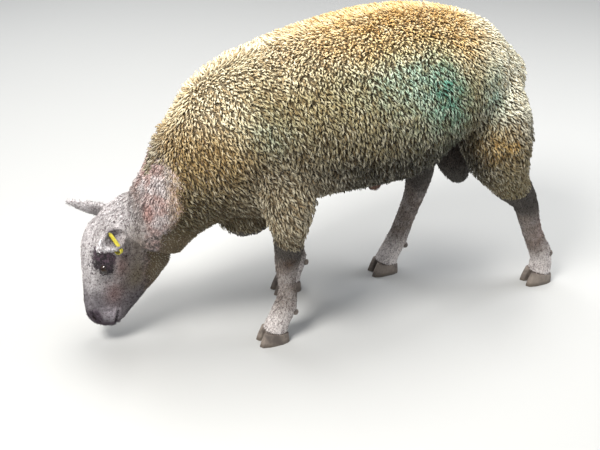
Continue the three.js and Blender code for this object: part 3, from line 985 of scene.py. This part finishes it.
class Graph:
    """The shader nodes of one material."""

    def __init__(self, name):
        self.material = bpy.data.materials.new(name)
        self.material.use_nodes = True
        self.tree = self.material.node_tree
        self.tree.nodes.clear()

    def node(self, kind, settings, values, output=0):
        """A new node with its settings and inputs, each a Shade, a number or a colour."""
        made = self.tree.nodes.new(kind)
        for name, value in settings.items():
            setattr(made, name, value)
        for name, value in values.items():
            socket = made.inputs[name]
            if isinstance(value, Shade):
                self.tree.links.new(value.socket, socket)
            elif isinstance(value, tuple) and len(value) == 3 and socket.type == "RGBA":
                socket.default_value = (*value, 1)
            else:
                socket.default_value = value
        return Shade(self, made.outputs[output])

    def maths(self, operation, *values):
        return self.node("ShaderNodeMath", {"operation": operation}, dict(enumerate(values)))

    def vector(self, operation, *values, output=0):
        return self.node("ShaderNodeVectorMath", {"operation": operation}, dict(enumerate(values)), output)

    def model_place(self):
        """Object coordinates, in the frame of the model."""
        return self.node("ShaderNodeTexCoord", {}, {}, "Object")

    def place(self):
        """Object coordinates in the animal's own frame."""
        return self.vector("SUBTRACT", self.model_place(), tuple(SHIFT))

    def head_place(self):
        """Object coordinates in the head's frame."""
        spot = self.vector("SUBTRACT", self.place(), tuple(POLL))
        return self.node("ShaderNodeVectorRotate", {"rotation_type": "Y_AXIS"},
                         {"Vector": spot, "Angle": HEAD_DROP})

    def axes(self, vector):
        """The X, Y and Z of a place."""
        made = self.node("ShaderNodeSeparateXYZ", {}, {0: vector})
        return [Shade(self, output) for output in made.socket.node.outputs]

    def spot(self, place, centre, reach):
        """1 at the centre, falling off round it."""
        scaled = self.vector("DIVIDE", self.vector("SUBTRACT", place, centre), reach)
        far = self.vector("DOT_PRODUCT", scaled, scaled, output="Value")
        return self.maths("EXPONENT", far * -1.0)

    def both_sides(self, place, centre, reach):
        """The same spot on the left and the right."""
        x, y, z = centre
        return self.spot(place, centre, reach) + self.spot(place, (x, -y, z), reach)

    def noise(self, place, scale, detail=3.0, roughness=0.55):
        """Smooth random cloud, mostly between 0.3 and 0.7."""
        return self.node("ShaderNodeTexNoise", {},
                         {"Vector": place, "Scale": scale, "Detail": detail, "Roughness": roughness})

    def mix(self, share, first, second, how="MIX"):
        """Colours: `first` where share is 0 or less, `second` where it is 1 or more."""
        return self.node("ShaderNodeMix", {"data_type": "RGBA", "blend_type": how, "clamp_factor": True},
                         {0: share, 6: first, 7: second}, 2)

    def attribute(self, name):
        return self.node("ShaderNodeAttribute", {"attribute_name": name}, {}, "Fac")

    def bump(self, height, distance, strength=1.0):
        return self.node("ShaderNodeBump", {},
                         {"Height": height, "Distance": distance, "Strength": strength})

    def finish(self, colour, roughness, normal=None, **constants):
        """Ends the material in one Principled shader."""
        values = {"Base Color": colour, "Roughness": roughness}
        if normal:
            values["Normal"] = normal
        for name, value in constants.items():
            values[name.replace("_", " ")] = value
        shader = self.node("ShaderNodeBsdfPrincipled", {}, values)
        out = self.tree.nodes.new("ShaderNodeOutputMaterial")
        self.tree.links.new(shader.socket, out.inputs["Surface"])
        return self.material


# ---------------------------------------------------------------- markings, shared by skin and coat

CREAM = (0.97, 0.87, 0.62)
WARM_WHITE = (0.97, 0.90, 0.72)
RUMP_WHITE_AND_HIGHLIGHT = (0.97, 0.95, 0.78)
GOLD = (0.90, 0.60, 0.20)
BEIGE = (0.50, 0.43, 0.235)
DULL_BEIGE = (0.31, 0.265, 0.150)
SHOULDER_BEIGE = (0.60, 0.52, 0.36)
THIGH_BEIGE = (0.50, 0.42, 0.24)
FRINGE_GREY = (0.36, 0.32, 0.24)
BROWN_GOLD = (0.60, 0.43, 0.19)
NECK_OLIVE = (0.17, 0.138, 0.068)
# near black under the belly: dirty wool with painted shade on it
OLIVE = (0.038, 0.034, 0.017)
TAN = (0.60, 0.41, 0.15)
GREEN = (0.075, 0.33, 0.24)
PALE_GREEN = (0.42, 0.62, 0.50)
# painted shade of the cracks between the locks, at their roots and on the skin under the fleece
CRACK_SHADE = (0.075, 0.047, 0.018)
WOOL_SHADE = (0.42, 0.30, 0.16)             # painted shade, multiplied on the darker locks: most in the partings, some at random

# [colour, strength, centre, reach]: stains and dye on the left flank.
WOOL_MARKS = [
    (PALE_GREEN, 0.60, (-0.085, -0.20, 0.735), (0.110, 0.10, 0.070)),
    (PALE_GREEN, 0.55, (-0.010, -0.21, 0.690), (0.085, 0.10, 0.085)),
    (GREEN, 0.72, (0.016, -0.21, 0.700), (0.045, 0.10, 0.070)),
    (GREEN, 0.30, (0.060, -0.21, 0.640), (0.045, 0.10, 0.065)),
    (PALE_GREEN, 0.75, (0.172, -0.20, 0.655), (0.036, 0.10, 0.060)),
    (PALE_GREEN, 0.28, (-0.415, -0.17, 0.640), (0.060, 0.10, 0.045)),
    (TAN, 0.70, (0.195, -0.22, 0.525), (0.055, 0.12, 0.045)),
]


def wool_colour(graph, place):
    """The fleece's colour at its tips: golden on the back, beige on the sides, olive under the belly; the fall towards
    the belly is partly painted shade of light from above, and the white rump partly painted highlight.
    """
    x, _, z = graph.axes(place)
    cloud = graph.noise(place, 9.0)
    fine = graph.noise(place, 38.0)
    # Darker down the sides to the belly, lighter on top: partly dirtier wool below, partly painted shade of light from
    # above.
    height = z + (cloud - 0.5) * 0.14
    colour = graph.mix(height.above(0.51, 0.64), OLIVE, DULL_BEIGE)
    colour = graph.mix(height.above(0.60, 0.70), colour, BEIGE)
    colour = graph.mix(height.above(0.71, 0.80), colour, CREAM)
    gold = height.above(0.735, 0.80) * x.above(-0.42, -0.12) * x.above(0.33, 0.20)
    colour = graph.mix(gold * (fine.above(0.30, 0.60) * 0.5 + 0.40), colour, GOLD)
    # The same on the neck: partly darker wool below, partly painted shade of light from above.
    neck = graph.mix(height.above(0.42, 0.62), NECK_OLIVE, BROWN_GOLD)
    neck = graph.mix(height.above(0.57, 0.68), neck, CREAM)
    colour = graph.mix(x.above(-0.38, -0.50) * 0.9, colour, neck)
    colour = graph.mix(x.above(-0.60, -0.66) * 0.8, colour, FRINGE_GREY)
    shoulder = graph.spot(place, (-0.36, -0.17, 0.42), (0.10, 0.12, 0.13))
    shoulder = (shoulder + graph.spot(place, (-0.33, 0.17, 0.42), (0.10, 0.12, 0.13))) * 1.3
    colour = graph.mix(shoulder.clamped() * 0.85, colour, SHOULDER_BEIGE)
    # Whiter rump: partly the wool's pale colour, partly painted highlight of light from behind.
    rump = x.above(0.10, 0.24) * z.above(0.50, 0.62)
    colour = graph.mix(rump * 0.9, colour, RUMP_WHITE_AND_HIGHLIGHT)
    thigh = x.above(0.14, 0.24) * z.above(0.56, 0.44)
    colour = graph.mix(thigh * 0.7, colour, THIGH_BEIGE)
    for paint, strength, centre, reach in WOOL_MARKS:
        here = graph.spot(place, centre, reach) * (fine.above(0.30, 0.62) * 0.75 + 0.35)
        colour = graph.mix(here * strength * 1.3, colour, paint)
    return graph.mix(fine.above(0.55, 0.80) * 0.22, colour, GOLD, "MULTIPLY")


def wool_finish():
    """Locks that are dark and warm at the root, painted shade of the cracks that deepens low on the body, and paler at
    the tip, no two of quite the same tone; those in the partings take painted shade too.
    """
    graph = Graph("wool")
    place = graph.place()
    along = graph.attribute("along")
    tone = graph.attribute("tone")
    colour = wool_colour(graph, place)
    colour = graph.mix(tone.above(0.55, 1.0) * 0.28, colour, WARM_WHITE)
    # Painted shade on the darker locks, most of them in the partings.
    colour = graph.mix(tone.above(0.45, 0.0) * 0.75, colour, WOOL_SHADE, "MULTIPLY")
    # Painted shade at the roots, in the cracks between the locks, deeper low on the body.
    _, _, z = graph.axes(place)
    root = graph.mix(z.above(0.54, 0.76) * 0.58 + 0.12, CRACK_SHADE, colour)
    colour = graph.mix(along.above(0.0, 0.55), root, colour)
    grain = graph.noise(place, 900.0, 2.0)
    return graph.finish(colour, 0.92, graph.bump(grain, 0.0006, 0.5),
                        Sheen_Weight=0.25, Sheen_Roughness=0.5, Specular_IOR_Level=0.15)


GREY_HAIR = (0.30, 0.275, 0.27)
MID_HAIR = (0.40, 0.375, 0.38)
PALE_HAIR = (0.72, 0.685, 0.69)
EAR_RIM = (0.80, 0.78, 0.80)
CHEEK_BROWN = (0.18, 0.145, 0.112)
CHEEK_OLIVE = (0.21, 0.165, 0.085)
MUZZLE_GREY = (0.170, 0.152, 0.168)
LIP_GREY = (0.60, 0.55, 0.60)
NOSE_DARK = (0.065, 0.044, 0.062)
FLUSH = (0.36, 0.20, 0.18)
EAR_SHADOW_DARK = (0.013, 0.008, 0.012)
EAR_SHADOW_PURPLE = (0.150, 0.095, 0.130)
EAR_HOLLOW_SKIN_AND_SHADE = (0.060, 0.038, 0.052)
PINK = (0.64, 0.46, 0.42)
NECK_PALE = (0.74, 0.68, 0.67)
NECK_SHADE = (0.120, 0.105, 0.098)
SORE = (0.50, 0.29, 0.26)
LEG_DARK = (0.27, 0.225, 0.195)
LEG_GREY = (0.46, 0.415, 0.39)
FOOT_PALE = (0.84, 0.785, 0.76)
SHADE_UNDER_WOOL = (0.075, 0.065, 0.054)          # painted shade on the leg where the wool ends
GROIN_SHADE = (0.030, 0.020, 0.014)
SAC_GREY = (0.085, 0.078, 0.066)
FRECKLE = (0.30, 0.25, 0.255)               # multiplied on the skin, as the next is
FLECK = (0.25, 0.20, 0.205)
SLIT_SHADE = (0.022, 0.014, 0.014)

# [colour, strength, centre, reach]: a rubbed knee and hock, and the tip of the sheath.
SKIN_MARKS = [
    ((0.09, 0.05, 0.03), 0.8, (-0.36, -0.155, 0.262), (0.018, 0.03, 0.020)),
    ((0.30, 0.13, 0.08), 0.6, (0.39, -0.12, 0.19), (0.022, 0.03, 0.05)),
    ((0.16, 0.085, 0.06), 1.6, (-0.058, 0.0, 0.360), (0.05, 0.04, 0.05)),
]


def head_colour(graph, place, head, cloud, spots):
    """Pale grey above, brown on the cheek, darker towards the muzzle, with painted shadow of the ear over purplish
    skin round the eye.
    """
    x, _, z = graph.axes(head)
    broad = graph.noise(place, 9.0)
    colour = graph.mix(cloud.above(0.35, 0.65), GREY_HAIR, MID_HAIR)
    colour = graph.mix((z + (cloud - 0.5) * 0.05).above(0.035, 0.080) * 0.85, colour, PALE_HAIR)
    colour = graph.mix((z + (broad - 0.5) * 0.06).above(0.030, -0.045) * 0.80, colour, CHEEK_BROWN)
    colour = graph.mix(x.above(-0.060, 0.005) * z.above(-0.05, 0.0) * 0.9, colour, PALE_HAIR)
    cheek = graph.spot(head, (-0.175, -0.07, -0.035), (0.055, 0.06, 0.030))
    colour = graph.mix(cheek * 0.5, colour, CHEEK_OLIVE)
    low = (x + (cloud - 0.5) * 0.06).above(-0.160, -0.250)
    colour = graph.mix(low * 0.85, colour, MUZZLE_GREY)
    lip = graph.both_sides(head, (-0.288, -0.040, 0.026), (0.020, 0.05, 0.020))
    colour = graph.mix((lip * (spots + 0.4)).clamped() * 0.75, colour, LIP_GREY)
    nose = graph.spot(head, (-0.298, -0.022, 0.066), (0.030, 0.045, 0.022))
    nose = nose + (x + (cloud - 0.5) * 0.05).above(-0.300, -0.335)
    colour = graph.mix((nose * 1.4 + cloud - 0.5).above(0.40, 0.95) * 0.9, colour, NOSE_DARK)
    flush = graph.both_sides(head, (-0.215, -0.045, 0.020), (0.040, 0.04, 0.022))
    flush = flush + graph.spot(head, (-0.120, -0.07, 0.005), (0.040, 0.05, 0.018)) * 0.8
    colour = graph.mix((flush * (spots + 0.2)).clamped() * 0.8, colour, FLUSH)
    # Painted shadow cast by the ear over the eye: near black, with purplish lid and brow skin in it.
    patch = graph.both_sides(head, (-0.108, -0.064, 0.050), (0.042, 0.05, 0.033))
    patch = patch * 1.5 + (cloud - 0.5) * 1.3 + (spots - 0.5) * 2.0
    ear_shadow = graph.mix(spots.above(0.46, 0.62) * x.above(-0.138, -0.100), EAR_SHADOW_DARK, EAR_SHADOW_PURPLE)
    return graph.mix(patch.above(0.40, 0.85) * 0.97, colour, ear_shadow)


def ear_colour(graph, head, cloud, colour):
    """A dark hollow in the left ear, purplish skin with painted shade in it and across its folds, and a pale rim on
    it.
    """
    x, y, _ = graph.axes(head)
    # Painted shade in the hollow and along its folds, over the purplish skin there.
    hollow = graph.spot(head, (-0.016, -0.090, 0.020), (0.022, 0.026, 0.022))
    folds = graph.maths("SINE", (x + y * 0.5 + cloud * 0.02) * 700.0)
    colour = graph.mix((hollow * (folds * 0.5 + 1.2)).clamped() * 0.85, colour, EAR_HOLLOW_SKIN_AND_SHADE)
    return graph.mix(y.above(-0.108, -0.125) * 0.75, colour, EAR_RIM)


def neck_colour(graph, place, cloud, spots):
    """Pink bare skin with a sore, shaded below and golden where the wool begins."""
    x, _, z = graph.axes(place)
    sore = graph.spot(place, (-0.684, -0.06, 0.425), (0.016, 0.05, 0.024))
    shade = (z - x * 0.55 + (cloud - 0.5) * 0.07).above(0.775, 0.715)
    colour = graph.mix(cloud.above(0.38, 0.62), PINK, NECK_PALE)
    colour = graph.mix(sore * 0.7, colour, SORE)
    colour = graph.mix(shade * spots.above(0.30, 0.60) * 0.95, colour, NECK_SHADE)
    return graph.mix(x.above(-0.655, -0.615) * spots.above(0.35, 0.60) * 0.8, colour, BROWN_GOLD)


def leg_colour(graph, place, cloud):
    """Grey, pale at the foot, with painted shade just under the wool."""
    _, _, z = graph.axes(place)
    colour = graph.mix(cloud.above(0.35, 0.65), LEG_DARK, LEG_GREY)
    colour = graph.mix(z.above(0.15, 0.07) * 0.9, colour, FOOT_PALE)
    return graph.mix((z + (cloud - 0.5) * 0.10).above(0.22, 0.29) * 0.92, colour, SHADE_UNDER_WOOL)


def bare_colour(graph, place, head):
    """All that carries no wool, with freckles and flecks over it."""
    x, _, z = graph.axes(place)
    cloud = graph.noise(place, 22.0)
    fleck = graph.noise(place, 230.0, 3.0, 0.7)
    spots = graph.noise(place, 105.0, 4.0, 0.75)
    colour = ear_colour(graph, head, cloud, head_colour(graph, place, head, cloud, spots))
    neck = x.above(-0.720, -0.680) * graph.axes(head)[2].above(0.10, -0.02)
    colour = graph.mix(neck, colour, neck_colour(graph, place, cloud, spots))
    colour = graph.mix(x.above(-0.52, -0.50), colour, leg_colour(graph, place, cloud))
    # The scrotum's dark grey, with painted shade of the groin on its upper part.
    sac = graph.spot(place, (0.180, 0.0, 0.40), (0.09, 0.075, 0.13))
    colour = graph.mix(sac * 2.0, colour, graph.mix(z.above(0.34, 0.42), SAC_GREY, GROIN_SHADE))
    for paint, strength, centre, reach in SKIN_MARKS:
        colour = graph.mix(graph.spot(place, centre, reach) * strength, colour, paint)
    colour = graph.mix(spots.above(0.52, 0.63) * 0.70, colour, FRECKLE, "MULTIPLY")
    return graph.mix(fleck.above(0.52, 0.62) * 0.75, colour, FLECK, "MULTIPLY")


def skin_finish():
    """Bare skin with fine creases, painted shade of the gaps under the fleece over the wool's ground colour, and
    painted shade in the slits.
    """
    graph = Graph("skin")
    place = graph.place()
    head = graph.head_place()
    bare = bare_colour(graph, place, head)
    # Under the fleece the skin takes painted shade of the gaps between the locks.
    wool = graph.mix(0.14, CRACK_SHADE, wool_colour(graph, place))
    colour = graph.mix(graph.attribute("woolly").above(0.25, 0.75), bare, wool)
    # Painted shade in the slits of the mouth and nostrils.
    colour = graph.mix(graph.attribute("dark").above(0.15, 0.6), colour, SLIT_SHADE)
    streaks = graph.noise(graph.vector("MULTIPLY", head, (90.0, 420.0, 420.0)), 1.0, 2.0)
    crease = graph.noise(place, 120.0, 4.0, 0.65)
    relief = streaks * 0.6 + crease * 0.6
    return graph.finish(colour, 0.66, graph.bump(relief, 0.0016, 0.55), Specular_IOR_Level=0.3)


def hair_finish():
    """Short tufts in the skin's colours, paler at the tip and of mixed tones."""
    graph = Graph("short_hair")
    along = graph.attribute("along")
    tone = graph.attribute("tone")
    colour = bare_colour(graph, graph.place(), graph.head_place())
    pale = graph.mix(0.8, colour, colour, "ADD")
    colour = graph.mix(along.above(0.2, 1.0) * tone.above(0.35, 1.0) * 0.75, colour, pale)
    colour = graph.mix(tone.above(0.45, 0.0) * 0.65, colour, (0.34, 0.28, 0.27), "MULTIPLY")
    return graph.finish(colour, 0.75, Sheen_Weight=0.1, Specular_IOR_Level=0.25)


def eye_finish(name, side):
    """A brown iris darkened almost to black, painted shade of the ear, with a level slit pupil, under a glossy window
    with a brown rim.
    """
    graph = Graph(name)
    centre = HEAD_FRAME @ on_side(LEFT_EYE, side)
    out = HEAD_TURN.to_3x3() @ on_side(EYE_OUT, side)
    level = out.cross(Vector((0, 0, 1))).normalized()
    up = level.cross(out)
    spot = graph.vector("SUBTRACT", graph.model_place(), tuple(centre))
    across, height = [graph.vector("DOT_PRODUCT", spot, tuple(axis), output="Value") * 1000.0
                      for axis in (level, up)]          # in millimetres
    far = (across * across + height * height) ** 0.5
    turn = graph.maths("ARCTAN2", across, height)
    round_eye = graph.node("ShaderNodeCombineXYZ", {}, {0: turn * 5.0, 1: far * 0.22, 2: 0.3})
    streak = graph.noise(round_eye, 2.0)
    # The iris is near black: painted shade of the ear over the eye.
    iris = graph.mix(streak.above(0.35, 0.65), (0.010, 0.006, 0.004), (0.040, 0.020, 0.008))
    iris = graph.mix(far.above(6.3, 8.2), iris, (0.012, 0.008, 0.007))
    slit = (across / 5.0) ** 4.0 + (height / 1.7) ** 2.0
    colour = graph.mix(slit.above(1.25, 0.85), iris, (0.004, 0.004, 0.005))
    colour = graph.mix(far.above(8.6, 10.0), colour, (0.045, 0.028, 0.024))
    return graph.finish(colour, 0.16, Coat_Weight=0.55, Coat_Roughness=0.06, Specular_IOR_Level=0.3)


def horn_finish():
    """Hoof horn: growth rings level with the ground, upright grain, mud on the lower edge."""
    pale, dark, mud = (0.30, 0.25, 0.21), (0.13, 0.105, 0.09), (0.085, 0.062, 0.040)
    graph = Graph("hoof_horn")
    place = graph.place()
    _, _, z = graph.axes(place)
    cloud = graph.noise(place, 30.0)
    rings = graph.maths("SINE", (z + cloud * 0.006) * 1500.0)
    grain = graph.noise(graph.vector("MULTIPLY", place, (420.0, 420.0, 60.0)), 1.0)
    colour = graph.mix(cloud.above(0.35, 0.65), dark, pale)
    colour = graph.mix(grain.above(0.50, 0.75) * 0.5, colour, dark)
    colour = graph.mix(z.above(0.016, 0.004) * cloud.above(0.40, 0.60) * 0.7, colour, mud)
    relief = rings * 0.35 + grain * 0.8
    return graph.finish(colour, graph.mix(cloud, (0.42, 0.42, 0.42), (0.70, 0.70, 0.70)),
                        graph.bump(relief, 0.0010, 0.6))


def tag_finish():
    """Yellow plastic, dulled by weather, with patches of dirt."""
    pale, deep, dirt = (0.80, 0.72, 0.10), (0.62, 0.52, 0.035), (0.30, 0.24, 0.08)
    graph = Graph("tag_plastic")
    place = graph.place()
    cloud = graph.noise(place, 90.0)
    fine = graph.noise(place, 900.0)
    colour = graph.mix(cloud.above(0.35, 0.65), deep, pale)
    colour = graph.mix(cloud.above(0.58, 0.72) * 0.4, colour, dirt)
    return graph.finish(colour, 0.42, graph.bump(fine, 0.0003, 0.5))


# ---------------------------------------------------------------- hooves and tag

def rounded(name, voxel):
    """A copy of a solid with its edges worn round; what stands on the ground stays flat."""
    piece = new_object(name, frame["nodes"][name].data.copy())
    piece.data.materials.clear()
    modifier(piece, "REMESH", mode="VOXEL", voxel_size=voxel)
    modifier(piece, "SMOOTH", factor=0.5, iterations=WORN)
    applied(piece)
    places = read(piece.data)
    if name.startswith("hoof"):
        places[:, 2] = np.where(places[:, 2] < SOLE, 0.0, places[:, 2])
    write_places(piece.data, places)
    shade_smooth(piece)
    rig.ride(piece, "root")
    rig.replaces(piece, name)
    return piece


def horns_and_tags():
    """Worn hooves and dewclaws in place of the plain ones; the tag keeps its own mesh."""
    horn = horn_finish()
    tag = tag_finish()
    for name in sorted(frame["nodes"]):
        if name.startswith(("hoof", "dewclaw")):
            piece = rounded(name, HOOF_VOXEL if name.startswith("hoof") else DEWCLAW_VOXEL)
            piece.data.materials.append(horn)
            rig.slot(piece, "hoof_horn")
        elif name.startswith("ear_tag"):
            frame["nodes"][name].data.materials.clear()
            frame["nodes"][name].data.materials.append(tag)


# ---------------------------------------------------------------- camera, floor and light

def camera():
    data = bpy.data.cameras.new("camera")
    data.lens = LENS
    data.sensor_width = 36
    view = bpy.data.objects.new("camera", data)
    view.location = CAMERA_PLACE + SHIFT
    view.rotation_euler = (math.pi / 2 - CAMERA_PITCH, 0, CAMERA_TURN)
    bpy.context.scene.collection.objects.link(view)
    bpy.context.scene.camera = view


def floor():
    bm = bmesh.new()
    bmesh.ops.create_grid(bm, x_segments=1, y_segments=1, size=12)
    piece = object_from("floor", bm)
    material = bpy.data.materials.new("studio_floor")
    material.use_nodes = True
    shader = material.node_tree.nodes["Principled BSDF"]
    shader.inputs["Base Color"].default_value = (0.56, 0.56, 0.55, 1)
    shader.inputs["Roughness"].default_value = 0.9
    piece.data.materials.append(material)
    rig.stage(piece)


def light(name, place, energy, size, colour=(1, 1, 1)):
    """A soft square lamp that looks at the middle of the animal."""
    data = bpy.data.lights.new(name, "AREA")
    data.energy = energy
    data.size = size
    data.color = colour
    lamp = bpy.data.objects.new(name, data)
    lamp.location = place
    lamp.rotation_euler = (Vector((0, 0, 0.5)) - lamp.location).to_track_quat("-Z", "Y").to_euler()
    bpy.context.scene.collection.objects.link(lamp)


def studio():
    warm, cool = (1.0, 0.98, 0.94), (0.96, 0.98, 1.0)
    floor()
    light("key", (-1.9, -1.1, 3.3), 150, 1.1, warm)
    light("top", (0.2, 0.5, 3.4), 75, 1.6, warm)
    light("rim", (-0.8, 2.8, 2.4), 34, 2.2, cool)
    light("tail_rim", (3.0, -0.2, 2.2), 60, 1.6, cool)
    light("fill", (-0.2, -3.8, 1.6), 10, 3.0)
    world = bpy.data.worlds.new("studio")
    world.use_nodes = True
    sky = world.node_tree.nodes["Background"]
    sky.inputs["Color"].default_value = (0.80, 0.86, 0.95, 1)
    sky.inputs["Strength"].default_value = 0.26
    bpy.context.scene.world = world
    bpy.context.scene.view_settings.view_transform = "Standard"


# ---------------------------------------------------------------- the model

def attribute(piece, name, values):
    """One number for each vertex, for the materials to read."""
    made = piece.data.attributes.new(name, "FLOAT", "POINT")
    made.data.foreach_set("value", np.asarray(values, np.float32))


camera()
studio()
skin = skin_piece()
unwrap(skin)
share = wool_share(read(skin.data))
attribute(skin, "woolly", share)
head = mirrored_head(skin)
# Where painted shade darkens the slits of the mouth and nostrils.
attribute(skin, "dark", np.where(head[:, 0] < -0.2, openness(head), 0.0))
skin.data.materials.append(skin_finish())
wool_material = wool_finish()
for wool in fleece(skin, share):
    wool.data.materials.append(wool_material)
    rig.ride(wool, "root")
    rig.slot(wool, "fleece")
hair_material = hair_finish()
for hair in short_hair(skin, share):
    hair.data.materials.append(hair_material)
    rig.ride(hair, "root")
    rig.slot(hair, "face_skin")
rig.ride(skin, "root")
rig.replaces(skin, *FLESH)
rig.slot(skin, "face_skin")
eyeball("eye_left", -1)
eyeball("eye_right", 1)
horns_and_tags()

json.dump({"cad": [list(v) for v in CAD_BOX], "visual": [list(v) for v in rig.bounds()]},
          open("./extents.json", "w"))
